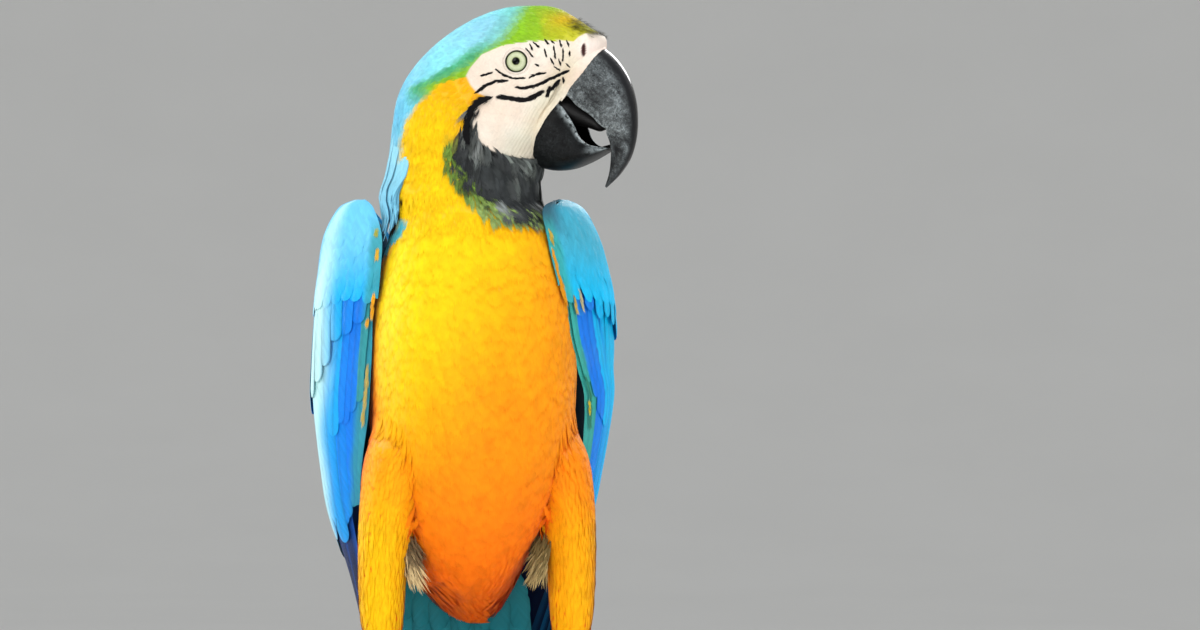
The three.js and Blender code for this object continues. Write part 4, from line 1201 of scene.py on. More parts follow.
# ---------------------------------------------------------------- tufts
def plume_shape(barbs, reach, slim, spread, tip=0.36):
    """A soft feather as slim barbs that end on a rounded outline: for each corner its place
    across (-1 to 1) and along (0 to 1), and the triangles. reach is a barb's length, and spread
    is how far out a barb starts beside its end, so that barbs run nearly parallel at 1."""
    corners, faces = [], []
    for k in range(-barbs, barbs + 1):
        turn = 1.75 * k / (barbs + 0.5)
        end = (math.sin(turn), 1 - tip + tip * math.cos(turn))
        start = (spread * end[0], max(end[1] - reach, 0.02 * abs(k)))
        middle = (lerp(start[0], end[0], 0.5), lerp(start[1], end[1], 0.5))
        first = len(corners)
        corners += [start, (middle[0] - slim, middle[1]), (middle[0] + slim, middle[1]), end]
        faces += [(first, first + 2, first + 1), (first + 1, first + 2, first + 3)]
    return np.array(corners), np.array(faces)


BLADE = (np.array([(0, 0), (-1, 0.45), (1, 0.45), (0, 1)], float), np.array([(0, 2, 1), (1, 2, 3)]))
RAGGED = 0.05  # how much the barbs' ends stray, as a share of the feather's length


def tufts(shape, root, normal, lie, length, width, lift, fall, random, curl=0.1):
    """Points (tufts, corners, 3) of feathers that lie along the body. fall is how far each tip
    has to sink below the straight line to follow the body."""
    corners, _ = shape
    across = corners[:, 0] + random.normal(0, 0.5 * RAGGED, (len(root), len(corners)))
    along = corners[:, 1] + random.normal(0, RAGGED, across.shape) * corners[:, 1] ** 2
    side = np.cross(lie, normal)
    line = lie[:, None] * (length[:, None] * along)[..., None] + fall[:, None] * (along**2)[..., None]
    rise = lift[:, None] * np.sin(np.minimum(along, 1) * math.pi / 2) - curl * width[:, None] * across**2
    wide = side[:, None] * (0.5 * width[:, None] * across)[..., None]
    return root[:, None] + line + wide + normal[:, None] * rise[..., None]


def tuft_piece(name, shape, points, normal, lie, tint, bake, material, slot, shade=(0.94, 1.03)):
    """One piece from the points of many tufts. bake is each tuft's place on the bake map, and
    shade is painted shade and light: it darkens a feather at its root, where the feathers over it
    shade it, and lightens it at its tip. Tufts take their light as the body under them does, so
    that they read as one soft coat."""
    corners, faces = shape
    count, size = points.shape[:2]
    every = (faces[None] + (np.arange(count) * size)[:, None, None]).reshape(-1, 3)
    light = lerp(shade[0], shade[1], corners[:, 1])
    colours = tint[:, None] * light[None, :, None]
    spot = MAP_SPOT * np.stack([corners[:, 0], 2 * corners[:, 1] - 1], -1)
    maps = {"OFBake": (bake[:, None] + spot[None]).reshape(-1, 2)}
    piece = new_object(name, points.reshape(-1, 3), every, material, slot, colours.reshape(-1, 3), maps)
    side = np.cross(lie, normal)
    soft = unit(normal[:, None] + 0.3 * side[:, None] * corners[None, :, :1])
    piece.data.normals_split_custom_set_from_vertices(soft.reshape(-1, 3))
    return piece


DRAWS = 7.0  # how many places are tried for each one that could be kept


class Skin:
    """The skin's surface: draws roots for tufts on it and finds the nearest point of it."""

    def __init__(self, points, faces, number):
        self.points, self.faces, self.number = points, faces, number
        self.tree = BVHTree.FromPolygons(points.tolist(), faces.tolist())
        a, b, c = (points[faces[:, k]] for k in range(3))
        cross = np.cross(b - a, c - a)
        self.area = np.linalg.norm(cross, axis=1) / 2
        self.middle = (a + b + c) / 3
        total = np.zeros_like(points)
        for k in range(3):
            np.add.at(total, faces[:, k], unit(cross) * self.area[:, None])
        self.normals = unit(total)

    def draw(self, wanted, spacing, random):
        """Roots no closer than the spacing, on the faces that wanted picks by their middles and
        part numbers. Returns places, normals and part numbers."""
        chosen = np.flatnonzero(wanted(self.middle, self.number))
        weight = self.area[chosen] / (spacing * spacing)
        count = int(DRAWS * weight.sum())
        face = chosen[random.choice(len(chosen), count, p=weight / weight.sum())]
        u, v = random.random((2, count))
        flip = u + v > 1
        u, v = np.where(flip, 1 - u, u), np.where(flip, 1 - v, v)
        a, b, c = (self.points[self.faces[face, k]] for k in range(3))
        places = a + (b - a) * u[:, None] + (c - a) * v[:, None]
        tree = KDTree(count)
        for k, place in enumerate(places.tolist()):
            tree.insert(place, k)
        tree.balance()
        free = np.ones(count, bool)
        kept = []
        for k in range(count):
            if free[k]:
                kept.append(k)
                for _, other, _ in tree.find_range(places[k], spacing):
                    free[other] = False
        face = face[kept]
        return places[kept], self.normals[self.faces[face]].mean(1), self.number[face]

    def nearest(self, places):
        return np.array([self.tree.find_nearest(p)[0] for p in places.tolist()])


def lie_of(points, normal):
    """The direction in which feathers lie: back from the bill over the head, down the body."""
    along, _, z = head_place(points)
    aft = step_between(744, 786, z)[:, None]
    flow = -FORE * aft + (-UP) * (1.02 - aft)
    throat = (step_between(2, 16, along) * step_between(748, 738, z) * step_between(702, 712, z))[:, None]
    flow = flow + 0.8 * FORE * throat
    flow = flow + 0.10 * np.sign(points[:, :1]) * [1, 0, 0] * step_between(700, 640, z)[:, None]
    return unit(flow - normal * dot(flow, normal))


def turned(lie, normal, angle):
    """Directions turned round the normal."""
    return lie * np.cos(angle)[:, None] + np.cross(normal, lie) * np.sin(angle)[:, None]


def bake_place(points, number):
    """Places on the skin's bake map, for the part that each point is on."""
    places = trunk_map(points)
    for part, side in LEG_PARTS:
        here = number == part
        places[here] = leg_map(points[here], side)
    return places


# The pointed sheet of loose feathers at the nape's foot: heights and angles round the body, in
# degrees, of its first and last roots and tips, how far off the tips stand, the feathers' half
# width and the neck's radius there.
NAPE_FLAP = {
    "count": 34,
    "root": [(740, -98), (724, -66)],
    "tip": [(690, -80), (704, -66)],
    "off": [6.4, 1.4],
    "half": 3.0,
    "radius": 42,
}
SOFT = plume_shape(6, reach=0.5, slim=0.19, spread=0.76)
FINE = plume_shape(5, reach=0.6, slim=0.11, tip=0.42, spread=0.75)
FLUFFY = plume_shape(5, reach=0.66, slim=0.13, tip=0.5, spread=0.66)
# Each region of the coat: the distance between roots, the feathers' length and width, how far
# the tips stand off the skin, how much their direction strays and their brightness varies, their
# shape, the random seed and the slot.
REGION_KEYS = ("gap", "length", "width", "lift", "stray", "vary", "shape", "seed", "slot")
COATS = {
    "crown": (1.35, 7.0, 2.7, 0.55, 0.07, 0.05, FINE, 11, "blue_plumage"),
    "neck": (1.9, 11.0, 4.6, 0.75, 0.08, 0.03, FINE, 13, "yellow_plumage"),
    "throat": (1.9, 15.0, 5.4, 2.3, 0.2, 0.22, FLUFFY, 12, "yellow_plumage"),
    "fringe": (1.4, 9.0, 2.2, 1.9, 0.2, 0.15, FLUFFY, 17, "yellow_plumage"),
    "breast": (2.3, 17.0, 7.8, 0.75, 0.07, 0.02, SOFT, 14, "yellow_plumage"),
    "back": (2.8, 18.0, 9.0, 1.5, 0.08, 0.03, SOFT, 15, "blue_plumage"),
    "legs": (1.9, 12.0, 5.6, 0.5, 0.08, 0.02, SOFT, 16, "yellow_plumage"),
    "vent": (2.6, 17.0, 6.4, 1.1, 0.1, 0.03, FLUFFY, 18, "yellow_plumage"),
}
# Painted shade at each coat feather's root and painted light at its tip, as shares of its tint.
COAT_SHADE = (0.97, 1.02)
# Feathers whose tips would hang over an edge of the body by more than a share of their length are
# made smaller.
OVER_EDGE = {"fall": 0.28, "length": 0.45, "width": 0.7, "lift": 0.5}


def coat(name, skin, wanted, material, tint):
    """One piece of coat over the places that wanted picks, with the measures of its region."""
    size = dict(zip(REGION_KEYS, COATS[name]))
    random = np.random.default_rng(size["seed"])
    root, normal, number = skin.draw(wanted, size["gap"], random)
    count = len(root)
    long = size["length"] * random.uniform(0.82, 1.15, count)
    wide = size["width"] * random.uniform(0.86, 1.12, count)
    high = size["lift"] * random.uniform(0.8, 1.15, count)
    lie = turned(lie_of(root, normal), normal, random.normal(0, size["stray"], count))
    reach = root + lie * long[:, None]
    over = np.linalg.norm(skin.nearest(reach) - reach, axis=1) > OVER_EDGE["fall"] * long
    long = np.where(over, OVER_EDGE["length"] * long, long)
    wide = np.where(over, OVER_EDGE["width"] * wide, wide)
    high = np.where(over, OVER_EDGE["lift"] * high, high)
    reach = root + lie * long[:, None]
    fall = skin.nearest(reach) - reach
    shape = size["shape"]
    points = tufts(shape, root - 0.3 * normal, normal, lie, long, wide, high, fall, random, curl=0.04)
    seen = root + lie * (0.75 * long[:, None]) + fall * 0.5
    colours = tint(seen)
    on_leg = number > 0
    colours[on_leg] = plumage(seen[on_leg], legs=True)
    colours = colours * np.exp(random.normal(0, size["vary"], (count, 1)))
    colours = colours * random.uniform(0.98, 1.02, (count, 3))
    places, slot = bake_place(root, number), size["slot"]
    tuft_piece(f"coat_{name}", shape, points, normal, lie, colours, places, material, slot, COAT_SHADE)


def throat_tint(points):
    """Charcoal with paler grey locks."""
    locks = step_between(-0.2, 0.8, waver(points * [1, 1, 0.4], 6, 3.0))
    return blend(THROAT_BLACK + 0 * points, colour(124, 130, 126), 0.85 * locks)


def fringe_tint(points):
    """Olive green under the throat, paler and greyer below."""
    tint = blend(MOSS + 0 * points, colour(92, 112, 48), 0.5 + 0.5 * waver(points, 4, 1.0))
    return blend(tint, colour(152, 176, 104), 0.8 * step_between(714, 704, points[..., 2]))


def hair_piece(name, roots, ends, out, width, lift, tint, bake, material, random):
    """Fine single hairs from roots to ends that bow outwards by lift."""
    way = ends - roots
    long = np.linalg.norm(way, axis=1)
    lie = unit(way)
    normal = unit(out - lie * dot(out, lie))
    points = tufts(BLADE, roots, normal, lie, long, width, lift, 0 * way, random, curl=0)
    # Painted shade at each hair's root and painted light at its tip.
    tuft_piece(name, BLADE, points, normal, lie, tint, bake, material, "yellow_plumage", (0.85, 1.1))


def nape_flap(material):
    """The pointed sheet of nape feathers that hangs free beside the shoulder."""
    random = np.random.default_rng(75)
    vanes = Vanes()
    u, across = vane_grid(20, 7, 0.55)
    taper = NAPE_FLAP["half"] * np.interp(u, [0, 0.3, 0.7, 1], [0.6, 1, 0.75, 0])
    ends = {key: np.array(NAPE_FLAP[key], float) for key in ("root", "tip")}
    for _ in range(NAPE_FLAP["count"]):
        share = random.uniform(0, 1)
        root_z, root_turn = lerp(*ends["root"], share)
        tip_z, tip_turn = lerp(*ends["tip"], share)
        off = lerp(*NAPE_FLAP["off"], share) * random.uniform(0.6, 1.1)
        start = root_z + random.uniform(-6, 8)
        low = tip_z + random.uniform(-1.5, 5) * (1 + share)
        offset = (taper * random.uniform(0.8, 1.1))[:, None] * across
        z = lerp(start, low, u)[:, None] + 0 * across
        place = row_at(TRUNK["z"], z)
        turn = np.radians(lerp(root_turn, tip_turn, u**1.5) + random.normal(0, 1.5))[:, None]
        turn = turn + offset / NAPE_FLAP["radius"]
        grid = trunk_point(place, turn)
        outward = unit((grid - trunk_point(place, turn + math.pi)) * [1, 1, 0])
        rise = lerp(-1.2, off, u**1.4)[:, None] + 0.3 * (1 - across**2)
        grid = grid + outward * rise[..., None]
        shade = blend(colour(150, 224, 246) + 0 * grid, colour(104, 190, 232), 0.6 * u[:, None] + 0 * z)
        # Painted shade along one edge of each feather, where the next one overlaps it.
        shade = blend(shade, colour(44, 92, 130), 0.6 * step_between(0.7, 1.0, across) + 0 * z)
        vane = np.stack([offset, u[:, None] * (start - low) + 0 * across], -1) * MM
        vanes.add(grid, shade * random.uniform(0.95, 1.05), vane, trunk_map(grid), outward)
    piece = vanes.piece("nape_flap", material, "blue_plumage")
    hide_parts("neck", "torso")


BRISTLE_COUNT = 520
# Down beside the vent: heights and distances aside of its top and low end, and its range of Y.
DOWN = {"count": 560, "top": 545, "low": 528, "top_x": 33.5, "low_x": 31.5, "y": (-17, -5)}


def bristles(skin, material):
    """Dark fine bristles over the forehead's front, a few of them leaning over the bill's base."""
    random = np.random.default_rng(71)
    count = BRISTLE_COUNT
    along = 64 - 17 * random.uniform(0, 1, count) ** 0.8
    right = random.uniform(-14, 14, count)
    z = 794.5 + 3.0 * step_between(60, 47, along)
    z = z + random.uniform(-1.5, 6.0, count) * step_between(62, 52, along)
    guess = HEAD_PIVOT * [1, 1, 0] + along[:, None] * FORE + right[:, None] * SIDE + z[:, None] * UP
    roots = skin.nearest(guess)
    rise = random.uniform(-0.45, 0.1, count)[:, None]
    ahead = FORE + UP * rise + SIDE * random.normal(0, 0.22, count)[:, None]
    long = random.uniform(2.2, 4.6, count) * lerp(1.0, 0.7, step_between(58, 64, along))
    ends = roots + unit(ahead) * long[:, None]
    out = UP + 0.02 * right[:, None] * SIDE
    tint = blend(colour(44, 38, 20) + 0 * roots, colour(122, 112, 34), random.uniform(0, 1, count) ** 2)
    width = np.full(count, 0.4)
    lift = random.uniform(0.1, 0.5, count)
    hair_piece("bristles", roots, ends, out, width, lift, tint, trunk_map(roots), material, random)


def thigh_down(side, name, material):
    """The loose down that fills the hollow between a leg and the belly."""
    random = np.random.default_rng(81 + side)
    count = DOWN["count"]
    level = random.uniform(0, 1, count)
    z = lerp(DOWN["top"], DOWN["low"], level) + random.normal(0, 1.5, count)
    x = side * (lerp(DOWN["top_x"], DOWN["low_x"], level) + random.uniform(-2.0, 4.5, count))
    y = random.uniform(*DOWN["y"], count)
    roots = np.stack([x, y, z], -1)
    inward = np.array([-side * 0.42, -0.12, -1.0])
    way = unit(inward + random.normal(0, 0.2, (count, 3)))
    ends = roots + way * random.uniform(6, 13, count)[:, None]
    pale = step_between(0.35, 1.0, level + random.normal(0, 0.22, count))
    tint = blend(DOWN_BROWN + 0 * roots, DOWN_PALE, pale)
    if side > 0:
        tint = blend(tint, colour(120, 104, 52), 0.55)
    out = np.array([0.0, -1.0, 0.0]) + 0 * roots
    width = random.uniform(0.5, 0.9, count)
    lift = random.uniform(0.5, 2.0, count)
    places = leg_map(roots, side)
    hair_piece(f"thigh_down_{name}", roots, ends, out, width, lift, tint, places, material, random)


# ---------------------------------------------------------------- eyes
IRIS_COLOURS = [colour(182, 190, 146), colour(208, 214, 180), colour(176, 188, 146)]  # outwards


def eye_frame(sign):
    """The eye's centre, the cheek's normal there, and directions towards the bill and up."""
    here, normal = cheek([EYE["along"]], [EYE["z"]], sign)
    fore = unit(FORE[None] - normal * dot(FORE[None], normal))
    rise = unit(np.cross(fore, normal))
    rise = rise * np.sign(rise[:, 2:])
    centre = here - normal * (EYE["ball"] - EYE["proud"])
    return centre[0], normal[0], fore[0], rise[0]


def eye(side, sign, material):
    """A ball with its iris and pupil facing out of the cheek."""
    centre, normal, fore, rise = eye_frame(sign)
    reach = np.concatenate([np.linspace(0.02, 6.2, 70), EYE["ball"] * np.sin(np.linspace(1.1, 1.55, 5))])
    turns = full_turn(96)
    around = np.cos(turns)[:, None] * fore + np.sin(turns)[:, None] * rise
    height = np.sqrt(EYE["ball"] ** 2 - reach**2)
    rings = centre + normal * height[:, None, None] + around[None] * reach[:, None, None]
    behind = centre - normal * height[::-8, None, None] + around[None] * reach[::-8, None, None]
    points, faces = capped(np.concatenate([rings, behind]))

    from_axis = np.linalg.norm(np.cross(points - centre, normal), axis=1)
    iris, pupil = EYE["iris"], EYE["pupil"]
    tint = ramp(IRIS_COLOURS, (from_axis - pupil) / 3.3)
    rings = (
        (colour(96, 108, 62), iris - 0.75, iris - 0.2),
        (colour(10, 9, 9), iris - 0.35, iris - 0.1),
        (colour(92, 100, 60), pupil + 0.5, pupil),
        (colour(3, 3, 4), pupil + 0.12, pupil - 0.12),
    )
    for ring, start, full in rings:
        tint = blend(tint, ring, step_between(start, full, from_axis))
    rel = points - centre
    turn = np.arctan2(rel @ rise, rel @ fore) / (2 * math.pi)
    streaks = np.stack([turn, from_axis * MM], 1)
    piece = new_object(f"eyeball_{side}", points, faces, material, "eye", tint, {"Vane": streaks})
    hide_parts(f"eye_{side}")


def lid(side, sign, material):
    """The ring of bare skin that meets the eyeball."""
    centre, normal, fore, rise = eye_frame(sign)
    reach = np.concatenate([np.linspace(LID["inner"], 6.5, 20), np.linspace(6.6, LID["outer"], 14)])
    turns = full_turn(220)
    wobble = 1 + 0.012 * np.sin(2 * turns + 0.6) + 0.006 * np.sin(5 * turns)
    run = reach[:, None] * wobble
    offset = run[..., None] * (np.cos(turns)[:, None] * fore + np.sin(turns)[:, None] * rise)
    surface, outward = cheek(EYE["along"] + offset @ FORE, EYE["z"] + offset[..., 2], sign + 0 * run)
    crest = np.exp(-(((reach - LID["crest"]) / 0.42) ** 2)) * LID["rise"]
    fold = 0.14 * np.exp(-(((reach - 7.2) / 0.4) ** 2)) - 0.14 * np.exp(-(((reach - 6.6) / 0.25) ** 2))
    height = crest + fold + lerp(0.06, -0.25, step_between(7.6, LID["outer"], reach))
    creases = 0.05 * np.sin(46 * turns + 2 * np.sin(3 * turns)) * step_between(5.3, 5.9, reach)[:, None]
    creases = creases * step_between(8.0, 7.0, reach)[:, None]
    raised = surface + outward * (height[:, None] + creases)[..., None]
    above = np.sqrt(np.maximum(EYE["ball"] ** 2 - run**2, 0)) + 0.05
    ball = centre + offset + normal * above[..., None]
    rings = lerp(raised, ball, step_between(5.75, LID["inner"], reach)[:, None, None])
    rim = step_between(5.62, 5.42, reach)
    shade = blend(colour(236, 226, 214) + 0 * reach[:, None], colour(14, 12, 12), rim)
    # Painted shade: a greyish ring in the groove of the lid's fold.
    shade = blend(shade, colour(206, 192, 178), 0.5 * np.exp(-(((reach - 6.6) / 0.35) ** 2)))
    shade = blend(shade, FACE_WHITE, step_between(7.0, 8.1, reach))
    tint = np.repeat(shade[:, None], len(turns), 1)
    faces = grid_faces(len(reach), len(turns), closed=True)
    new_object(f"lid_{side}", rings.reshape(-1, 3), faces, material, "face_skin", tint.reshape(-1, 3))


# ---------------------------------------------------------------- bill
def horn_maps(rings):
    """Distances round and along the horn, in metres."""
    around = np.cumsum(np.linalg.norm(np.diff(rings, axis=1, prepend=rings[:, :1]), axis=-1), axis=1)
    along = np.cumsum(np.linalg.norm(np.diff(rings, axis=0, prepend=rings[:1]), axis=-1), axis=0)
    flat = np.stack([around, along], -1).reshape(-1, 2) * MM
    return np.concatenate([flat, flat[:1], flat[-1:]])


def set_values(piece, name, values):
    """A number for each point of a piece, which its material reads by name."""
    layer = piece.data.attributes.new(name, "FLOAT", "POINT")
    layer.data.foreach_set("value", np.asarray(values, np.float32))


def bill_walls(rows, place, turn, thickness=0.0):
    """The outer walls of one half of the bill at row places and at turns from one rim (-1) round
    the ridge to the other (1): the place in the side view, the distance from the midline, the
    share of the way from ridge to rim, and the rim's direction."""
    *sides, half = columns(rows, place, *range(5))
    top, low = np.stack(sides[:2], -1), np.stack(sides[2:], -1)
    half = np.maximum(half - thickness, 0.3)
    down = 0.5 - 0.5 * np.cos(math.pi * np.abs(turn) ** 1.1)
    near_ridge = np.sqrt(1 - (1 - 2 * np.minimum(down, 0.5)) ** 2)
    bow = np.where(down < 0.5, near_ridge, 1 - 0.16 * (2 * down - 1) ** 2)
    flat = top + (low - top) * down[..., None]
    right = half * bow * np.sign(turn)
    return flat, right, down + 0 * place, top - low


def horn_point(flat, right):
    return HEAD_PIVOT + flat[..., :1] * FORE + right[..., None] * SIDE + flat[..., 1:] * UP


def with_ends(values):
    """A value for each point of capped rings, 0 at the middles of both ends."""
    return np.append(values.ravel(), [0.0, 0.0])


def horn_piece(name, rings, material, tint, wear, scuff, ridge):
    """One half of the bill, with what its material reads at each point."""
    points, faces = capped(rings)
    piece = new_object(name, points, faces, material, "bill", tint, {"Vane": horn_maps(rings)})
    for key, values in (("Wear", wear), ("Scuff", scuff), ("Ridge", ridge)):
        set_values(piece, key, values)
    return piece


def upper_bill(material):
    """Walls and, between their rims, the hollow palate."""
    place = np.linspace(0, len(UPPER_BILL) - 1, 120)[:, None]
    turn = np.linspace(-1, 1, 110)[None]
    flat, right, down, height = bill_walls(UPPER_BILL, place, turn)
    place = place + 0 * turn
    deep = np.linalg.norm(height, axis=-1)
    up_line = height / (deep[..., None] + 1e-9)
    notch = 1.0 * np.exp(-(((place - 4.9) / 0.22) ** 2)) - 0.6 * np.exp(-(((place - 4.1) / 0.35) ** 2))
    flat = flat + (notch * step_between(0.8, 1.0, down))[..., None] * up_line
    across = np.linspace(1, -1, 31)[None, 1:-1]
    hollow = np.clip(0.3 * deep, 0, 6) * step_between(8.8, 6.0, place[:, :1])
    roof = flat[:, -1:] + up_line * (hollow * (1 - np.abs(across) ** 3))[..., None]
    roof_right = (np.abs(right[:, -1:]) - 0.9) * across
    rings = np.concatenate([horn_point(flat, right), horn_point(roof, roof_right)], 1)
    inner = np.zeros_like(roof_right)
    place = np.concatenate([place, place[:, :1] + inner], 1)
    down = np.concatenate([down, 1.2 + inner], 1)
    culmen = with_ends(step_between(0.035, 0.012, down))
    wear = with_ends(0.7 * np.exp(-(((down - 0.97) / 0.03) ** 2)) * (place < 5.5))
    scuff = step_between(1.05, 0.9, down) * step_between(0.06, 0.24, down)
    scuff = scuff * lerp(1, 0.55, step_between(5, 7.5, place))
    tint = blend(colour(15, 16, 19) + 0 * culmen[:, None], colour(7, 7, 9), culmen)
    tint = blend(tint, colour(8, 8, 9), with_ends(step_between(1.0, 1.1, down)))
    piece = horn_piece("upper_bill", rings, material, tint, wear, with_ends(scuff), culmen)
    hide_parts("bill_upper")


def lower_bill(material):
    """A trough: outer walls, rims and inner walls as one surface."""
    place = np.linspace(0, len(LOWER_BILL) - 1, 90)[:, None]
    turn = np.linspace(-1, 1, 110)[None]
    inner_turn = np.linspace(-1, 1, 81)[None]
    flat, right, down, height = bill_walls(LOWER_BILL, place, turn)
    inner_flat, inner_right, inner_down, _ = bill_walls(LOWER_BILL, place, inner_turn, LOWER_BILL_WALL)
    up_line = -height / (np.linalg.norm(height, axis=-1, keepdims=True) + 1e-9)
    raised = inner_flat + up_line * (1.6 * LOWER_BILL_WALL * (1 - inner_down))[..., None]
    inner = horn_point(raised, inner_right)[:, ::-1][:, 1:-1]
    rings = np.concatenate([horn_point(flat, right), inner], 1)
    down = np.concatenate([down, np.full(inner.shape[:2], 2.0)], 1)
    rim = np.exp(-(((down - 1.0) / 0.07) ** 2)) * step_between(0.3, 1.6, place)
    front = 0.7 * step_between(4.4, 6.6, place) * step_between(0.2, 0.7, down) * (down < 1.5)
    wear = with_ends(np.maximum(rim, front))
    lining = with_ends(step_between(1.2, 1.6, down))
    tint = blend(colour(7, 8, 9) + 0 * lining[:, None], colour(3, 3, 4), lining)
    piece = horn_piece("lower_bill", rings, material, tint, wear, 0.05 * (1 - lining), 0 * wear)
    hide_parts("bill_lower")


def bill_cuff(name, rows, edge, material):
    """The bare skin that hugs the base of one half of the bill and ends in a thin lip."""
    steps = np.linspace(0, len(rows) - 1, 400)[:, None]
    turn = np.linspace(-1, 1, CUFF["columns"])[None]
    flat = bill_walls(rows, steps, turn)[0]
    past = flat[..., 0] > np.interp(flat[..., 1], edge["z"], edge["along"])
    end = steps[np.argmax(past, axis=0), 0]
    count = CUFF["rows"]
    u = np.concatenate([np.linspace(0, 1, count), [1, 1]])[:, None]
    flat, right, _, height = bill_walls(rows, u * end[None], turn + 0 * u)
    rimward = unit(height[:, :1])
    points = horn_point(flat, right)
    normal = unit(np.cross(np.gradient(points[:count], axis=0), np.gradient(points[:count], axis=1)))
    normal = normal * np.sign((normal @ SIDE * right[:count]).sum())
    normal = np.concatenate([normal, normal[-1:], normal[-1:]])
    behind = (1 - u) * end[None] * 9.0
    height = 0.32 + 0.06 * behind + 0.012 * behind**2
    height = height + 0.05 * np.sin(3.3 * behind + 2 * waver(points, 7))
    height[count:] = np.array(CUFF["lip"])[:, None]
    points = points + normal * height[..., None]
    down = horn_point(rimward, 0 * u) - HEAD_PIVOT * [1, 1, 0]
    steps = CUFF["past_rim"] * np.linspace(0.12, 1, CUFF["strip"])
    before = points[:, :1] - down * steps[::-1, None]
    after = points[:, -1:] - down * steps[:, None]
    points = np.concatenate([before, points, after], 1)
    faces = grid_faces(*points.shape[:2])
    points = points.reshape(-1, 3)
    piece = new_object(name, points, faces, material, "face_skin", bare_tint(points))
    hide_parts("head")


def tongue(material):
    """A blunt tongue with a groove along its back."""
    place = np.linspace(0, len(TONGUE) - 1, 40)[:, None]
    angle = full_turn(40)[None]
    along, z, radius = columns(TONGUE, place, 0, 1, 2)
    groove = 0.16 * np.exp(-(((angle - math.pi / 2) / 0.35) ** 2))
    flat = HEAD_PIVOT + along[..., None] * FORE + (radius * np.cos(angle))[..., None] * SIDE
    rings = flat + (z + radius * (0.75 - groove) * np.sin(angle))[..., None] * UP
    points, faces = capped(rings)
    tint = colour(11, 10, 11) + 0 * points
    piece = new_object("tongue_skin", points, faces, material, "bill", tint)
    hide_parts("tongue")


def face_feathers(material):
    """The lines of tiny black feathers on the bare skin, and the band behind the cheek."""
    random = np.random.default_rng(31)
    strokes = [(line[::-1], wide, 2.4, 0.35) for line, wide in FACE_LINES]
    strokes += [(ends, LORE_WIDTH, 2.0, 0.3) for ends in LORE_DASHES]
    strokes.append((*CHEEK_BAND, 4.2, 2.4))
    made = []
    for sign in (1, -1):
        for line, wide, long, lift in strokes:
            line = np.array(line)
            steps = np.linalg.norm(np.diff(line, axis=0), axis=1)
            run = np.concatenate([[0], np.cumsum(steps)])
            count = int(run[-1] * wide * 7 + 8)
            s = random.uniform(0, run[-1], count)
            before, middle, after = (
                np.stack([np.interp(s + shift, run, line[:, k]) for k in (0, 1)], 1)
                for shift in (-0.6, 0, 0.6)
            )
            ahead = unit(after - before)
            aside = np.stack([-ahead[:, 1], ahead[:, 0]], 1)
            taper = np.clip(np.minimum(s, run[-1] - s) / (1.2 * wide) + 0.3, 0, 1)
            middle = middle + aside * (random.uniform(-0.42, 0.42, count) * wide * taper)[:, None]
            middle = middle - 0.4 * long * ahead
            place, normal = cheek(middle[:, 0], middle[:, 1], sign + 0 * s)
            tip = cheek(middle[:, 0] + ahead[:, 0], middle[:, 1] + ahead[:, 1], sign + 0 * s)[0]
            lie = turned(unit(tip - place), normal, random.normal(0, 0.13, count))
            place = place + normal * (face_relief(place) + 0.1 * lift)[:, None]
            length = long * random.uniform(0.8, 1.1, count)
            made.append((place, normal, lie, length, np.full(count, lift)))
    root, out, lie, length, lift = (np.concatenate(column) for column in zip(*made))
    width = np.full(len(root), 0.45)
    fall = -0.04 * length[:, None] * out
    points = tufts(BLADE, root, out, lie, length, width, lift, fall, random)
    tint = LINE_BLACK * random.uniform(0.6, 1.3, (len(root), 1))
    places = trunk_map(root)
    tuft_piece("face_feathers", BLADE, points, out, lie, tint, places, material, "face_skin", (1, 1))


# ---------------------------------------------------------------- wings
def wing_point(side, z, v):
    """The wing's outer surface at a height, v from the leading edge at 0 to the trailing at 1."""
    place = row_of(WING[side], z)
    height, *flat = columns(WING[side], place, *range(7))
    lead, bulge, trail = (np.stack(flat[k : k + 2], -1) for k in (0, 2, 4))
    fore = np.linalg.norm(lead - bulge, axis=-1, keepdims=True)
    share = fore / (fore + np.linalg.norm(bulge - trail, axis=-1, keepdims=True))
    v = np.asarray(v)[..., None]
    flat = lead * ((v - share) * (v - 1)) / share
    flat = flat + bulge * (v * (v - 1)) / (share * (share - 1))
    flat = flat + trail * (v * (v - share)) / (1 - share)
    return np.concatenate([side * flat[..., :1], flat[..., 1:], height[..., None]], -1)


def wing_normal(side, z, v):
    v = np.clip(v, 0, 0.98)
    across = wing_point(side, z, v + 0.02) - wing_point(side, z, v)
    down = wing_point(side, z - 1, v) - wing_point(side, z + 1, v)
    return -side * unit(np.cross(across, down))


def wing_core(side):
    """The flesh that the feathers are rooted in, and its colour: blue outside, a dark painted shade
    inside.
    """
    top = WING_TOP - WING_CORE["below_top"]
    z = lerp(top, WING_CORE["low"], np.linspace(0, 1, 60) ** 1.3)[:, None]
    v = np.linspace(0.03, 0.97, 40)[None]
    (thick,) = columns(WING[side], row_of(WING[side], z), 7)
    normal = unit(wing_normal(side, z + 0 * v, v + 0 * z) * [1, 1, 0])
    surface = wing_point(side, z + 0 * v, v + 0 * z)
    level = (WING_TOP - z) / (WING_TOP - WING_CORE["low"])
    depth = lerp(WING_CORE["top_depth"], WING_CORE["low_depth"], level) * np.sin(math.pi * v) ** 0.3
    behind = np.maximum(thick * np.sqrt(np.sin(math.pi * v)), depth + 3)
    depth = np.maximum(depth, WING_CORE["under_coverts"] * step_between(712, 680, z))
    outer = surface - normal * (depth + 0.3)[..., None]
    inner = surface - normal * (behind - 0.2)[..., None]
    rings = np.concatenate([outer, inner[:, -2:0:-1]], axis=1)
    outside = np.append(np.tile(np.arange(rings.shape[1]) < outer.shape[1], len(rings)), [False, False])
    points, faces = capped(rings)
    return points, faces, np.where(outside[:, None], CORE_BLUE, CORE_INSIDE_SHADE)


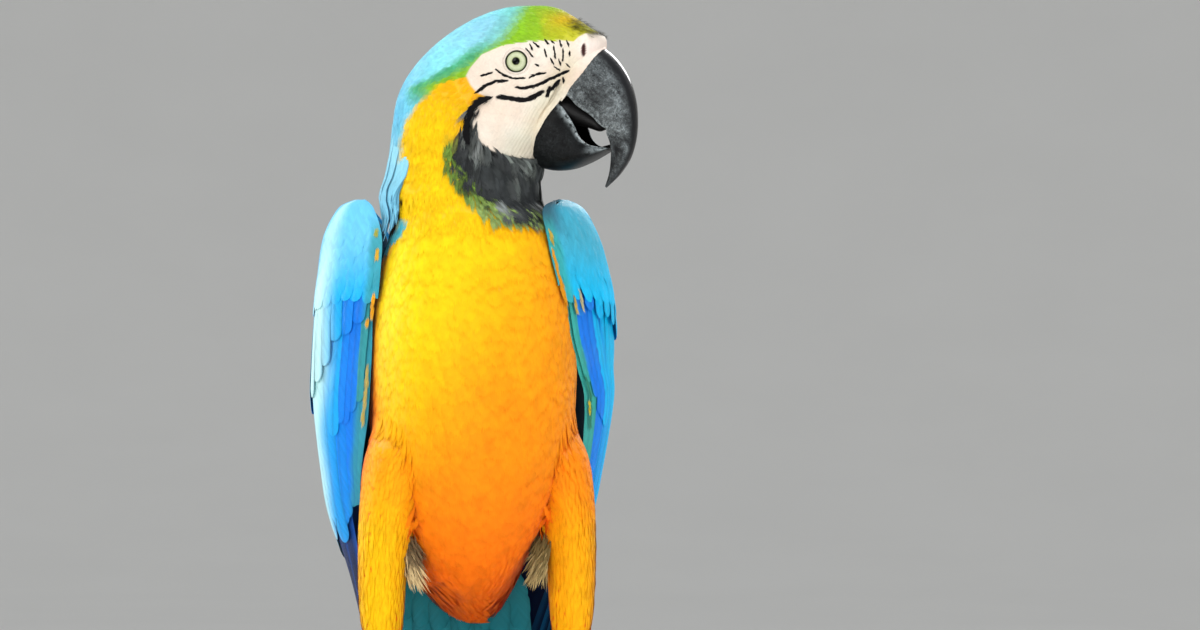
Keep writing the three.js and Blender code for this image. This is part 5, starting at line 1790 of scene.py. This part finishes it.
def vane_grid(rows, across_count, tip):
    """Places along a firm feather, dense past the tip's start, and places across it."""
    dense = rows // 3
    low = np.linspace(0, tip, rows - dense, endpoint=False)
    u = np.concatenate([low, tip + (1 - tip) * np.sin(np.linspace(0, math.pi / 2, dense))])
    across = np.linspace(-1, 1, across_count)
    return u, np.sign(across) * np.abs(across) ** 0.85


class Vanes:
    """Gathers firm feathers into one piece."""

    def __init__(self):
        self.points, self.normals, self.tints, self.vane, self.bake, self.faces = [], [], [], [], [], []
        self.count = 0

    def add(self, grid, tint, vane, bake, normals=None):
        rows, columns = grid.shape[:2]
        quads = grid_faces(rows, columns)
        if normals is not None:
            made = np.cross(np.gradient(grid, axis=1), np.gradient(grid, axis=0))
            if (made * normals).sum() < 0:
                quads = quads[:, ::-1]
            self.normals.append(normals.reshape(-1, 3))
        self.points.append(grid.reshape(-1, 3))
        self.tints.append(tint.reshape(-1, 3))
        self.vane.append(vane.reshape(-1, 2))
        self.bake.append(bake.reshape(-1, 2))
        self.faces.append(quads + self.count)
        self.count += rows * columns

    def piece(self, name, material, slot):
        maps = {"OFBake": np.concatenate(self.bake), "Vane": np.concatenate(self.vane)}
        gathered = (self.points, self.faces, self.tints)
        points, faces, tints = (np.concatenate(column) for column in gathered)
        made = new_object(name, points, faces, material, slot, tints, maps)
        if self.normals:
            made.data.normals_split_custom_set_from_vertices(np.concatenate(self.normals))
        return made


# Main, outer and shoulder blue of the left (1) and right (-1) wing, and its strip of teal. The
# two wings differ by painted light: the left wing's blues are brightened for the light it lacks,
# and the right wing's outer blue, partly its own paler blue, is lightened almost to white as
# painted light on its bulge.
WING_BLUES = {
    1: (colour(6, 200, 255), colour(10, 214, 255), colour(72, 182, 212), colour(60, 176, 166)),
    -1: (colour(28, 184, 252), colour(206, 255, 255), colour(112, 208, 250), colour(58, 160, 168)),
}
PALE = {1: (0.3, 0.46), -1: (0.15, 0.31)}  # where each wing turns paler towards its bulge
SMALL_COVERTS = ("coverts", "median_coverts")
AZURE = colour(22, 128, 244)
TEAL_STRIP = {1: (0.045, 0.03), -1: (0.02, 0.01)}
# Painted shade: the wing core's dark inside, seen in the gap between wing and body.
CORE_INSIDE_SHADE = colour(22, 58, 74)
CORE_BLUE = colour(66, 164, 204)
BACK_BLUE = colour(34, 152, 226)


def wing_tint(side, tier, tip, z, v, u, c, random):
    """The colour of a wing feather whose tip is at (z, v) tip, at heights z and places across v;
    u and c are places along and across the feather."""
    points = np.stack([z, 60 * v, 0 * z], -1)
    tip_z, tip_v = tip
    strip = tip_v + random.normal(0, 0.008)
    main, outer, shoulder, teal = WING_BLUES[side]
    # Paler towards the bulge: partly the feathers' own paler blue and, on the right wing, painted light.
    pale = step_between(*PALE[side], v + 0.03 * waver(points, 20)) * step_between(0.5, 0.34, v)
    tint = blend(main + 0 * points, outer, pale)
    tint = blend(tint, BACK_BLUE, step_between(0.34, 0.55, v))
    tint = blend(tint, shoulder, step_between(662, 696, z) * (1 - 0.6 * pale))
    if tip_z < 660:
        tint = blend(tint, AZURE, step_between(0.17, 0.09, strip) * step_between(0.22, 0.14, v))
        tint = blend(tint, teal, step_between(*TEAL_STRIP[side], strip) + 0 * z)
    # Painted shade: slate at the left wing's leading edge near its top, where it meets the body.
    if side > 0:
        tint = blend(tint, colour(60, 104, 122), step_between(0.13, 0.0, v) * step_between(690, 706, z))
    front = 0.8 * step_between(0.05, 0.015, v + 0.01 * waver(points, 9))
    tint = blend(tint, teal, front * step_between(708, 692, z))
    if tier == "primaries":
        navy = step_between(585, 520, z) * step_between(-1.0, -0.6, c)
        tint = blend(colour(20, 84, 180) + 0 * points, colour(8, 26, 66), navy)
        light = 0.4 * step_between(0.5, 0.66, c)
        tint = blend(tint, colour(50, 166, 236), light * step_between(0.6, 0.3, tip_v))
    if tier == "secondaries":
        low_blue = 0.5 * step_between(640, 560, z) * step_between(0.03, 0.1, strip)
        tint = blend(tint, colour(14, 166, 250), low_blue * (1 - 0.7 * pale))
        edge = 0.4 * step_between(-0.7, -0.97, c)
        tint = blend(tint, colour(28, 72, 160), edge * step_between(620, 560, z))
    if tier in ("secondaries", "greater_coverts"):
        # Painted shadow: a dark line along one edge of each feather, where the one beside it overlaps.
        crease = step_between(-0.8, -0.97, c) * step_between(0.4, 0.6, u)
        tint = blend(tint, colour(18, 84, 140), 0.55 * crease * step_between(0.12, 0.18, tip_v))
    if tier not in SMALL_COVERTS:
        tint = blend(tint, colour(24, 60, 120), 0.2 * np.exp(-((c / 0.06) ** 2)))
    # Painted shade on each feather's root, where the feathers over it overlap it.
    root_shade = 0.94 if tier in SMALL_COVERTS else 0.88
    brightness = random.uniform(0.965, 1.03)
    return tint * brightness * lerp(root_shade, 1.0, step_between(0.0, 0.5, u))[..., None]


def tier_value(values, share):
    """The value at a share of the way through a list."""
    return np.interp(share * (len(values) - 1), np.arange(len(values)), values)


def wing_feather(side, root, tip, half, depth, cant, mesh, random, tier):
    """One firm feather on the wing, from its root (z, v) to its tip (z, v)."""
    rows, across_count = mesh
    length = abs(root[0] - tip[0])
    u, across = vane_grid(rows, across_count, 1 - 0.85 * half / length)
    round_off = 0.95 * half / length
    ends = np.clip(1 - np.maximum((u - 1 + round_off) / round_off, 0) ** 2, 0, 1)
    wide = half * (0.5 + 0.5 * np.sin(np.minimum(u / 0.4, 1) * math.pi / 2)) * np.sqrt(ends)
    z = lerp(root[0], tip[0], u)[:, None] + 0 * across
    v_line = lerp(root[1], tip[1], u)
    reach = wing_point(side, z[:, 0], v_line + 0.02) - wing_point(side, z[:, 0], v_line - 0.02)
    reach = np.linalg.norm(reach, axis=-1) / 0.04
    nicks = np.ones((rows, across_count))
    for _ in range(random.poisson(1.2)):
        at, edge = random.uniform(0.45, 0.95), random.choice([0, across_count - 1])
        nicks[:, edge] -= random.uniform(0.06, 0.22) * np.exp(-(((u - at) / 0.02) ** 2))
    offset = across * wide[:, None] * nicks
    v = np.clip(v_line[:, None] + offset / reach[:, None], -0.025, 1.06)
    sunk = lerp(depth[0], depth[1], np.sin(u * math.pi / 2) ** 0.8)[:, None]
    camber = 0.035 * wide[:, None] * (1 - across**2) * 2
    shaft = 0.16 * np.exp(-((across / 0.08) ** 2)) * (1 - u[:, None])
    below = sunk + cant * offset - camber - shaft + random.uniform(-0.12, 0.12)
    surface = wing_point(side, z, v)
    outward = wing_normal(side, z, np.clip(v, 0, 1))
    grid = surface - outward * below[..., None]
    aside = unit(np.gradient(grid, axis=1))
    soft = unit(outward + 0.07 * across[None, :, None] * aside)
    tint = wing_tint(side, tier, tip, z, v, u[:, None] + 0 * z, across + 0 * z, random)
    vane = np.stack([offset, u[:, None] * length + 0 * offset], -1) * MM
    return grid, tint, vane, np.stack([across + 0 * z, u[:, None] + 0 * z], -1), soft


def wing_map(z, v):
    """Places on the wing's own bake map, which spans some heights."""
    height = MAP_MARGIN + MAP_SPAN * (z - WING_MAP["low"]) / WING_MAP["height"]
    return np.stack([WING_MAP["margin"] + WING_MAP["span"] * np.clip(v, 0, 1), height], -1)


def edging(side, name, material, random):
    """Golden and green feathers, soft and narrow, along the wing's leading edge."""
    size = EDGING_SIZE
    z, v, tint = [], [], []
    for top, low, middle, screen in EDGING[side]:
        count = int((top - low) / size["step"])
        z.append(random.uniform(low + 3, top, count))
        v.append(middle + random.normal(0, size["stray"], count))
        tint.append(colour(*screen) * random.uniform(0.88, 1.06, (count, 1)))
    z, v, tint = (np.concatenate(column) for column in (z, v, tint))
    count = len(z)
    normal = wing_normal(side, z, v)
    root = wing_point(side, z, v) + 0.1 * normal
    lie = unit(wing_point(side, z - 6, v) - wing_point(side, z, v))
    lie = turned(lie, normal, random.normal(0, 0.1, count))
    long = size["length"] * random.uniform(0.8, 1.2, count)
    wide = size["width"] * random.uniform(0.8, 1.2, count)
    lift = random.uniform(0.35, 0.8, count)
    points = tufts(FINE, root, normal, lie, long, wide, lift, 0 * lie, random)
    places = wing_map(z, v)
    slot = "blue_plumage"
    piece = tuft_piece(f"wing_edging_{name}", FINE, points, normal, lie, tint, places, material, slot)
    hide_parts(f"wing_{name}")


def flight_tier(side, tier, flights, coverts, random):
    """One tier of long feathers, the longest ones among the flights."""
    count = tier["count"]
    long = tier["name"] in ("primaries", "secondaries")
    mesh = FLIGHT["long_mesh" if long else "short_mesh"]
    for k in range(count):
        share = k / (count - 1)
        root = [tier_value(tier["root_z"], share), tier_value(tier["root_v"], share)]
        tip_z = tier_value(tier["tip_z"][side], share) + random.normal(0, FLIGHT["stray"])
        tip = [tip_z, tier_value(tier["tip_v"], share)]
        half = tier_value(tier["half"], share) * random.uniform(0.94, 1.06)
        grid, tint, vane, local, soft = wing_feather(
            side, root, tip, half, tier["depth"], FLIGHT["cant"], mesh, random, tier["name"]
        )
        bake = wing_map(tip_z + 10, tip[1]) + MAP_SPOT * (2 * local - [0, 1])
        if long:
            flights.add(grid, tint, vane, bake)
        else:
            coverts.add(grid, tint, vane, bake, soft)


def covert_row(side, tip_z, coverts, random):
    """One row of small coverts over the shoulder."""
    size = COVERT_ROWS
    low = wing_point(side, np.full(50, tip_z), np.linspace(-0.03, 1.0, 50))
    around = np.linalg.norm(np.diff(low, axis=0), axis=1).sum()
    count = max(int(around / size["pitch"]), 3)
    for k in range(count):
        v = -0.03 + 1.03 * (k + 0.5 + random.uniform(-0.3, 0.3)) / count
        fall = size["fall"] * max(v, 0) * (size["fall_from"] - tip_z) / size["fall_over"]
        z = tip_z - fall + random.normal(0, FLIGHT["stray"])
        top = min(z + size["length"] * random.uniform(0.85, 1.15), WING_TOP - 0.3)
        if top - z < size["least"]:
            continue
        half = size["half"] * random.uniform(0.9, 1.15)
        tip = (z, v + random.uniform(-0.01, 0.02))
        grid, tint, vane, local, soft = wing_feather(
            side, (top, v), tip, half, size["depth"], size["cant"], size["mesh"], random, "coverts"
        )
        coverts.add(grid, tint, vane, wing_map(z + 4, v) + MAP_SPOT * (2 * local - [0, 1]), soft)


def wing(side, name, materials):
    """Flight feathers, coverts, edging and the core they are rooted in."""
    random = np.random.default_rng(41 + side)
    flights, coverts = Vanes(), Vanes()
    for tier in FLIGHT_TIERS:
        flight_tier(side, tier, flights, coverts, random)
    for tip_z in COVERT_ROWS["tips"]:
        covert_row(side, tip_z, coverts, random)
    edging(side, name, materials["plume"], random)
    points, faces, tint = wing_core(side)
    core = new_object(f"wing_core_{name}", points, faces, materials["plume"], "blue_plumage", tint)
    long = flights.piece(f"flight_feathers_{name}", materials["vane"], "blue_plumage")
    short = coverts.piece(f"wing_coverts_{name}", materials["vane"], "blue_plumage")
    for piece in (core, long, short):
        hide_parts(f"wing_{name}")


# ---------------------------------------------------------------- tail
TAIL_DENSE = 0.8  # where a tail feather's mesh becomes dense
# Places down a tail feather, for its number of places across.
TAIL_PLACES = {9: vane_grid(60, 9, TAIL_DENSE)[0], 7: vane_grid(24, 7, TAIL_DENSE)[0]}


def tail_point(x, z, lift):
    """A place on the tail's arched sheet, some way above it."""
    y = TAIL["root_y"] + (TAIL["root_z"] - z) * TAIL["lean"] + lift - TAIL["arch"] * x**2
    return np.stack([x, y, z], -1)


def tail_feather(vanes, random, root_z, tip_z, half, aside, lift, faces_up, across_count):
    """One feather. aside and lift give how far it strays and stands off, for places down it."""
    u = TAIL_PLACES[across_count]
    across = vane_grid(len(u), across_count, TAIL_DENSE)[1]
    wide = half * np.interp(u, TAIL_TAPER["u"], TAIL_TAPER["wide"])
    z = lerp(root_z, tip_z, u)[:, None] + 0 * across
    offset = wide[:, None] * across
    for _ in range(random.poisson(2.0)):
        at, edge = random.uniform(0.4, 0.97), random.choice([0, across_count - 1])
        offset[:, edge] *= 1 - random.uniform(0.05, 0.2) * np.exp(-(((u - at) / 0.01) ** 2))
    shaft = 0.35 * np.exp(-((across / 0.08) ** 2)) * (1 - u[:, None])
    rise = 0.06 * wide[:, None] * (1 - across**2) + shaft
    grid = tail_point(aside[:, None] + offset, z, lift[:, None] + faces_up * rise)
    if faces_up > 0:
        tint = blend(colour(34, 120, 190) + 0 * grid, colour(30, 76, 158), step_between(420, 250, z))
    else:
        tint = blend(TEAL + 0 * grid, colour(176, 138, 44), step_between(452, 420, z))
        tint = blend(tint, colour(150, 116, 36), step_between(400, 150, z))
    # Painted shade along both edges of each feather, where its neighbours overlap it.
    tint = blend(tint, tint * 0.5, 0.5 * step_between(0.6, 1.0, np.abs(across)) + 0 * z)
    tint = tint * random.uniform(0.92, 1.06)
    vane = np.stack([offset, u[:, None] * (root_z - tip_z) + 0 * offset], -1) * MM
    height = MAP_MARGIN + MAP_SPAN * z / TAIL_MAP["height"]
    bake = np.stack([0.5 + TAIL_MAP["across"] * grid[..., 0], height], -1)
    vanes.add(grid, tint, vane, bake)


def tail(materials):
    """Each feather has a blue upper sheet and, just below it, a golden under sheet."""
    random = np.random.default_rng(51)
    vanes = Vanes()
    u = TAIL_PLACES[9]
    for k, (tip_z, out, half) in enumerate(TAIL_PAIRS):
        for side in (1, -1):
            layer = len(TAIL_PAIRS) - 2 * k - (0 if side > 0 else 1)
            aside = side * out * lerp(0.55, 1, u)
            for face in (1, -1):
                lift = layer * TAIL["step"] + 0.18 * face + 0 * u
                seeded = np.random.default_rng(60 + k)
                tail_feather(vanes, seeded, TAIL["sheet_root_z"], tip_z, half, aside, lift, face, 9)
    piece = vanes.piece("tail_feathers", materials["vane"], "tail_plumage")
    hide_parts("tail")

    coverts = Vanes()
    u = TAIL_PLACES[7]
    for face, root_z, tips, reach in TAIL_COVERTS:
        for row, tip in enumerate(tips):
            for k in range(-3, 4):
                aside = (k * reach + random.uniform(-1.5, 1.5)) * lerp(0.62, 1, np.sqrt(u))
                rise = (14 - 1.1 * row - 0.5 * abs(k)) * face
                lift = rise * lerp(0.5, 1.0, np.sin(u * math.pi / 2)) - face * 4.0 * u**2
                low = tip + random.normal(0, 3)
                tail_feather(coverts, random, root_z, low, TAIL["covert_half"], aside, lift, face, 7)
    piece = coverts.piece("tail_coverts", materials["vane"], "tail_plumage")
    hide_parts("tail")


# ---------------------------------------------------------------- feet and stand
def perch_at(x):
    """The height of the branch's middle and its radius."""
    share = x / PERCH["length"]
    z = PERCH["top"] - PERCH["radius"] + PERCH["bend"] * (np.cos(2 * math.pi * share) - 1)
    return z, PERCH["radius"] + PERCH["knot"] * np.sin(5.1 * share + 0.4) * np.sin(9 * share)


def tube(points, radius, sides):
    """Rings of some radius, for each point or each point and side, round a line of points."""
    radius = np.asarray(radius, float)
    radius = radius if radius.ndim == 2 else radius[:, None] * np.ones(sides)
    ahead = unit(np.gradient(points, axis=0))
    cross = unit(np.cross(ahead, np.array([1.0, 0.02, 0.03])))
    other = np.cross(ahead, cross)
    angle = full_turn(sides)
    spread = cross[:, None] * np.cos(angle)[None, :, None] + other[:, None] * np.sin(angle)[None, :, None]
    return points[:, None] + spread * radius[..., None]


def toe_line(side, arc, stray, size, share):
    """The middle line of a toe that wraps the branch."""
    x = leg_aside(side, SHIN["x"] + stray * np.sqrt(share), PERCH["top"])
    z, radius = perch_at(x)
    angle = np.radians(90 + arc * share)
    reach = radius + TOE["radius"] * size * TOE["swell"] + 0.3
    return np.stack([x, reach * np.cos(angle), z + reach * np.sin(angle)], -1)


def foot(side, name, materials):
    """Four toes with their scutes, and the shin."""
    parts = []
    for arc, stray, size in TOES.values():
        share = np.linspace(0, 1, 70)
        knuckle = 1 + (TOE["swell"] - 1) * np.cos(6 * math.pi * share)
        radius = TOE["radius"] * size * knuckle * (1 - 0.3 * share**2)
        scutes = TOE["scute"] * np.abs(np.sin(math.pi * share * 17)) ** 0.5
        end = np.sqrt(np.clip(1 - np.clip((share - 0.95) / 0.05, 0, 0.98) ** 2, 0, 1))
        radius = (radius + scutes - TOE["scute"]) * end
        parts.append(capped(tube(toe_line(side, arc, stray, size, share), radius, TOE["sides"])))
    z = np.linspace(SHIN["low"], SHIN["top"] + 2, 30)
    share = np.linspace(0, 1, 30)
    line = np.stack([leg_aside(side, SHIN["x"], z), 0 * z, z], -1)
    radius = SHIN["radius"] * (1.15 - 0.3 * np.sin(math.pi * share))
    parts.append(capped(tube(line, radius, TOE["sides"])))
    points, faces = joined(parts)
    piece = new_object(f"toes_{name}", points, faces, materials["foot"], "foot_skin")
    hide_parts(f"foot_{name}")


def claws(side, name, materials):
    """A curved claw on the end of each toe."""
    for key, (arc, stray, size) in TOES.items():
        length = CLAW["length"] * size
        ends = toe_line(side, arc, stray, size, np.array([0.94, 1.0]))
        ahead = unit(ends[1] - ends[0])
        out = unit(np.array([0, ends[1][1], ends[1][2] - perch_at(ends[1][0])[0]]))
        share = np.linspace(0, 1, 40)
        line = ends[1] + ahead * (length * (share - 0.12))[:, None]
        line = line + out * (3.4 * np.sin(math.pi * share) + 1.2 * (1 - share))[:, None]
        radius = CLAW["radius"] * size * (1 - share) ** 0.85 + 0.15
        points, faces = capped(tube(line, radius, CLAW["sides"]))
        piece = new_object(f"talon_{key}_{name}", points, faces, materials["claw"], "claw")
        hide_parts(f"claw_{key}_{name}")


def perch(materials):
    """The branch's bark and its two cut ends."""
    share = np.linspace(-0.5, 0.5, 160)
    x = PERCH["length"] * share
    z, radius = perch_at(x)
    angle = full_turn(120)
    line = np.stack([x, 0 * x, z], -1)
    turned_x = x[:, None] + 0 * angle
    flat = PERCH["radius"] * np.stack([np.cos(angle), np.sin(angle)], -1)
    rough = np.concatenate([0.35 * turned_x[..., None], flat[None] + 0 * turned_x[..., None]], -1)
    bark = radius[:, None] + 0.35 * waver(rough, 9) + 0.25 * waver(rough, 4, 1.0) - 0.5
    around = np.stack([0 * angle, np.cos(angle), np.sin(angle)], -1)
    rings = line[:, None] + around[None] * bark[..., None]
    quads = grid_faces(len(x), len(angle), closed=True)
    piece = new_object("perch_bark", rings.reshape(-1, 3), quads, materials["bark"], "bark")
    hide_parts("stand_perch")
    for name, end in (("a", 0), ("b", -1)):
        shares = np.linspace(1, 0.02, 24)
        centre = line[end]
        disc = centre + (rings[end] - centre)[None] * shares[:, None, None]
        disc[1:, :, 0] += np.sign(x[end]) * 0.25
        places = np.repeat(shares[:, None], len(angle), 1) * PERCH["radius"] * MM
        maps = {"Vane": np.stack([places, 0 * places], -1).reshape(-1, 2)}
        quads = grid_faces(len(shares), len(angle), closed=True)
        points = disc.reshape(-1, 3)
        cut = new_object(f"perch_end_{name}", points, quads, materials["cut"], "bark", None, maps)
        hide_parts("stand_perch")


def stand(materials):
    """Branch, rods and base."""
    perch(materials)
    for name, side in (("left", 1), ("right", -1)):
        x = side * ROD["aside"]
        z = np.linspace(BASE["height"] + 0.3, perch_at(x)[0], 12)
        line = np.stack([x + 0 * z, 0 * z, z], -1)
        points, faces = capped(tube(line, np.full(12, ROD["radius"]), ROD["sides"]))
        piece = new_object(f"rod_{name}", points, faces, materials["steel"], "rod_steel")
        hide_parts(f"stand_rod_{name}")

    edge = [(BASE["radius"], 0)]
    c = BASE["chamfer"]
    for k in range(9):
        turn = math.radians(90 * k / 8)
        edge.append((BASE["radius"] - c + c * math.cos(turn), BASE["height"] - c + c * math.sin(turn)))
    edge.append((BASE["radius"] - 8, BASE["height"]))
    piece = new_object("base", *capped(lathe(edge, 160)), materials["base"], "base_wood")
    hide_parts("stand_base")


# ---------------------------------------------------------------- finishing the scene
# The camera: what it looks at, its degrees round from straight ahead, its distance in metres.
CAMERA = {"target": (63.0, -11.1, 655.0), "azimuth": -10, "distance": 3.0, "lens": 180, "sensor": 36}
# The floor in metres: how far it is flat, and how far and high it sweeps up; its sides.
FLOOR = {"flat": [5.0, 10.0], "sweep": 5, "rise": 4.5, "steps": 12, "sides": 96}
# Each lamp, in metres and watts: place, what it lights, size, power and tint.
LAMPS = {
    "key": ((-2.3, -2.6, 2.4), (0.02, 0, 0.62), 2.0, 56, (1.0, 0.985, 0.965)),
    "fill": ((2.6, -2.3, 1.3), (0.02, 0, 0.62), 1.8, 32, (0.97, 0.985, 1.0)),
    "top": ((0.1, 0.2, 3.0), (0.02, 0, 0.6), 1.8, 22, (1, 1, 1)),
    "low": ((-0.5, -2.6, 0.35), (0.02, 0, 0.55), 1.4, 17, (1, 1, 1)),
    "rim": ((1.5, 2.4, 1.9), (0.02, 0, 0.66), 1.2, 36, (1, 1, 1)),
    "rim_right": ((-2.2, 1.9, 1.5), (0.0, 0, 0.6), 1.2, 36, (1, 1, 1)),
}
SURROUND = {"colour": (0.92, 0.94, 0.96, 1), "strength": 0.66}


def camera():
    """A long lens level with the bird, a little to its right of straight ahead."""
    target = Vector(CAMERA["target"]) * MM
    azimuth = math.radians(CAMERA["azimuth"])
    away = Vector((math.sin(azimuth), -math.cos(azimuth), 0)) * CAMERA["distance"]
    view = bpy.data.objects.new("camera", bpy.data.cameras.new("camera"))
    view.data.lens = CAMERA["lens"]
    view.data.sensor_width = CAMERA["sensor"]
    view.data.sensor_fit = "HORIZONTAL"
    view.data.clip_start = 0.1
    view.data.clip_end = 100
    view.location = target + away
    view.rotation_euler = (-away).to_track_quat("-Z", "Y").to_euler()
    bpy.context.scene.collection.objects.link(view)
    bpy.context.scene.camera = view


def lamp(name, place, target, size, power, tint):
    """A round soft lamp that faces its target."""
    data = bpy.data.lights.new(name, "AREA")
    data.shape = "DISK"
    data.size = size
    data.energy = power
    data.color = tint
    light = bpy.data.objects.new(name, data)
    light.location = place
    aim = Vector(target) - Vector(place)
    light.rotation_euler = aim.to_track_quat("-Z", "Y").to_euler()
    bpy.context.scene.collection.objects.link(light)


def studio():
    """A pale floor that sweeps up far away, soft lamps and an even grey surround."""
    sides = FLOOR["sides"]
    profile = [(radius, 0.0) for radius in FLOOR["flat"]]
    for k in range(1, FLOOR["steps"] + 1):
        turn = math.radians(90 * k / FLOOR["steps"])
        sweep = FLOOR["sweep"] * math.sin(turn)
        profile.append((FLOOR["flat"][-1] + sweep, FLOOR["rise"] * (1 - math.cos(turn))))
    points = np.concatenate([[[0, 0, 0]], lathe(profile, sides).reshape(-1, 3)])
    j = np.arange(sides)
    middle = np.stack([0 * j, 1 + j, 1 + (j + 1) % sides], 1)
    sweep = grid_faces(len(profile), sides, closed=True)[:, ::-1] + 1
    mesh = bpy.data.meshes.new("floor")
    mesh.from_pydata(points.tolist(), [], middle.tolist() + sweep.tolist())
    mesh.shade_smooth()
    f = Finish("floor", 0.8, Specular_IOR_Level=0.2)
    tint = f.mix(f.noise(3, 3), colour(216, 215, 212), colour(221, 220, 217))
    mesh.materials.append(f.finish(Base_Color=tint))
    floor = bpy.data.objects.new("floor", mesh)
    bpy.context.scene.collection.objects.link(floor)

    for name, values in LAMPS.items():
        lamp(name, *values)

    world = bpy.data.worlds.new("surround")
    world.use_nodes = True
    sky = world.node_tree.nodes["Background"]
    sky.inputs["Color"].default_value = SURROUND["colour"]
    sky.inputs["Strength"].default_value = SURROUND["strength"]
    bpy.context.scene.world = world
    bpy.context.scene.view_settings.view_transform = "Standard"


# ---------------------------------------------------------------- assembly
def feathered(p, within=-0.3):
    """Outside the bare face, or within some distance of its edge."""
    along, _, z = head_place(p)
    return polygon_distance(FACE, along, z) < within


def on_throat(p):
    """On the black throat."""
    return throat_share(p) >= 0.5


def under_throat(p):
    """In the fringe just outside the black throat."""
    along, _, z = head_place(p)
    near = polygon_distance(THROAT, along, z)
    beside = (near > -FRINGE["outside"]) & (near < FRINGE["inside"])
    return beside & (z < FRINGE["top"]) & (along > FRINGE["behind"])


# Heights up to which the vent, the breast and the neck reach, and how far forward (Y) a place
# lies to belong to the breast or the vent.
REGION_TOP = {"vent": 512, "breast": 700, "neck": 758}
REGION_Y = {"breast": 10, "vent": 45}
FRINGE = {"outside": 5.5, "inside": 0.5, "top": 742, "behind": -9}


def between_heights(p, low, high):
    """Feathered places between two regions' tops, off the throat."""
    return feathered(p) & (p[:, 2] > low) & (p[:, 2] <= high) & ~on_throat(p)


# Which places of the trunk each region of the coat covers.
TRUNK_REGIONS = {
    "crown": lambda p: between_heights(p, REGION_TOP["neck"], TRUNK["z"][-1]),
    "neck": lambda p: between_heights(p, REGION_TOP["breast"], REGION_TOP["neck"]),
    "throat": lambda p: feathered(p, 0.7) & on_throat(p),
    "fringe": lambda p: feathered(p) & under_throat(p),
    "breast": lambda p: (p[:, 2] <= REGION_TOP["breast"]) & (p[:, 1] < REGION_Y["breast"]),
    "back": lambda p: (p[:, 2] <= REGION_TOP["breast"]) & (p[:, 1] >= REGION_Y["breast"]),
    "vent": lambda p: (p[:, 2] <= REGION_TOP["vent"]) & (p[:, 1] < REGION_Y["vent"]),
}


def build():
    plume = plume_finish()
    vane = vane_finish()
    points, faces, number = united([trunk_skin(), leg_skin(1), leg_skin(-1)])
    skin = Skin(points, faces, number)
    tint = blend(plumage(points), face_tint(points), face_share(points))
    maps = {"OFBake": skin_bake_map(points, faces, number)}
    piece = new_object("skin", points, faces, skin_finish(), "face_skin", tint, maps)
    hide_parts("head", "neck", "torso", "leg_left", "leg_right")

    tints = {"throat": throat_tint, "fringe": fringe_tint}
    for name in COATS:
        if name == "legs":
            coat(name, skin, lambda p, n: n > 0, plume, plumage)
        else:
            covers = TRUNK_REGIONS[name]
            coat(name, skin, lambda p, n: covers(p) & (n == 0), plume, tints.get(name, plumage))
    bristles(skin, plume)
    nape_flap(vane)

    materials = {
        "plume": plume,
        "vane": vane,
        "skin": piece.data.materials[0],
        "horn": bill_finish("upper_horn", 0.22),
        "dark_horn": bill_finish("lower_horn", 0.09),
        "eye": eye_finish(),
        "foot": scute_finish(),
        "claw": claw_finish(),
        "bark": bark_finish(),
        "cut": cut_wood_finish(),
        "steel": steel_finish(),
        "base": base_wood_finish(),
    }
    upper_bill(materials["horn"])
    lower_bill(materials["dark_horn"])
    tongue(materials["skin"])
    bill_cuff("cere_cuff", UPPER_BILL, UPPER_CUFF, materials["skin"])
    bill_cuff("cheek_cuff", LOWER_BILL, LOWER_CUFF, materials["skin"])
    face_feathers(plume)
    for name, side in (("left", 1), ("right", -1)):
        eye(name, -side, materials["eye"])
        lid(name, -side, materials["skin"])
        wing(side, name, materials)
        thigh_down(side, name, plume)
        foot(side, name, materials)
        claws(side, name, materials)
    tail(materials)
    stand(materials)


build()
camera()
studio()
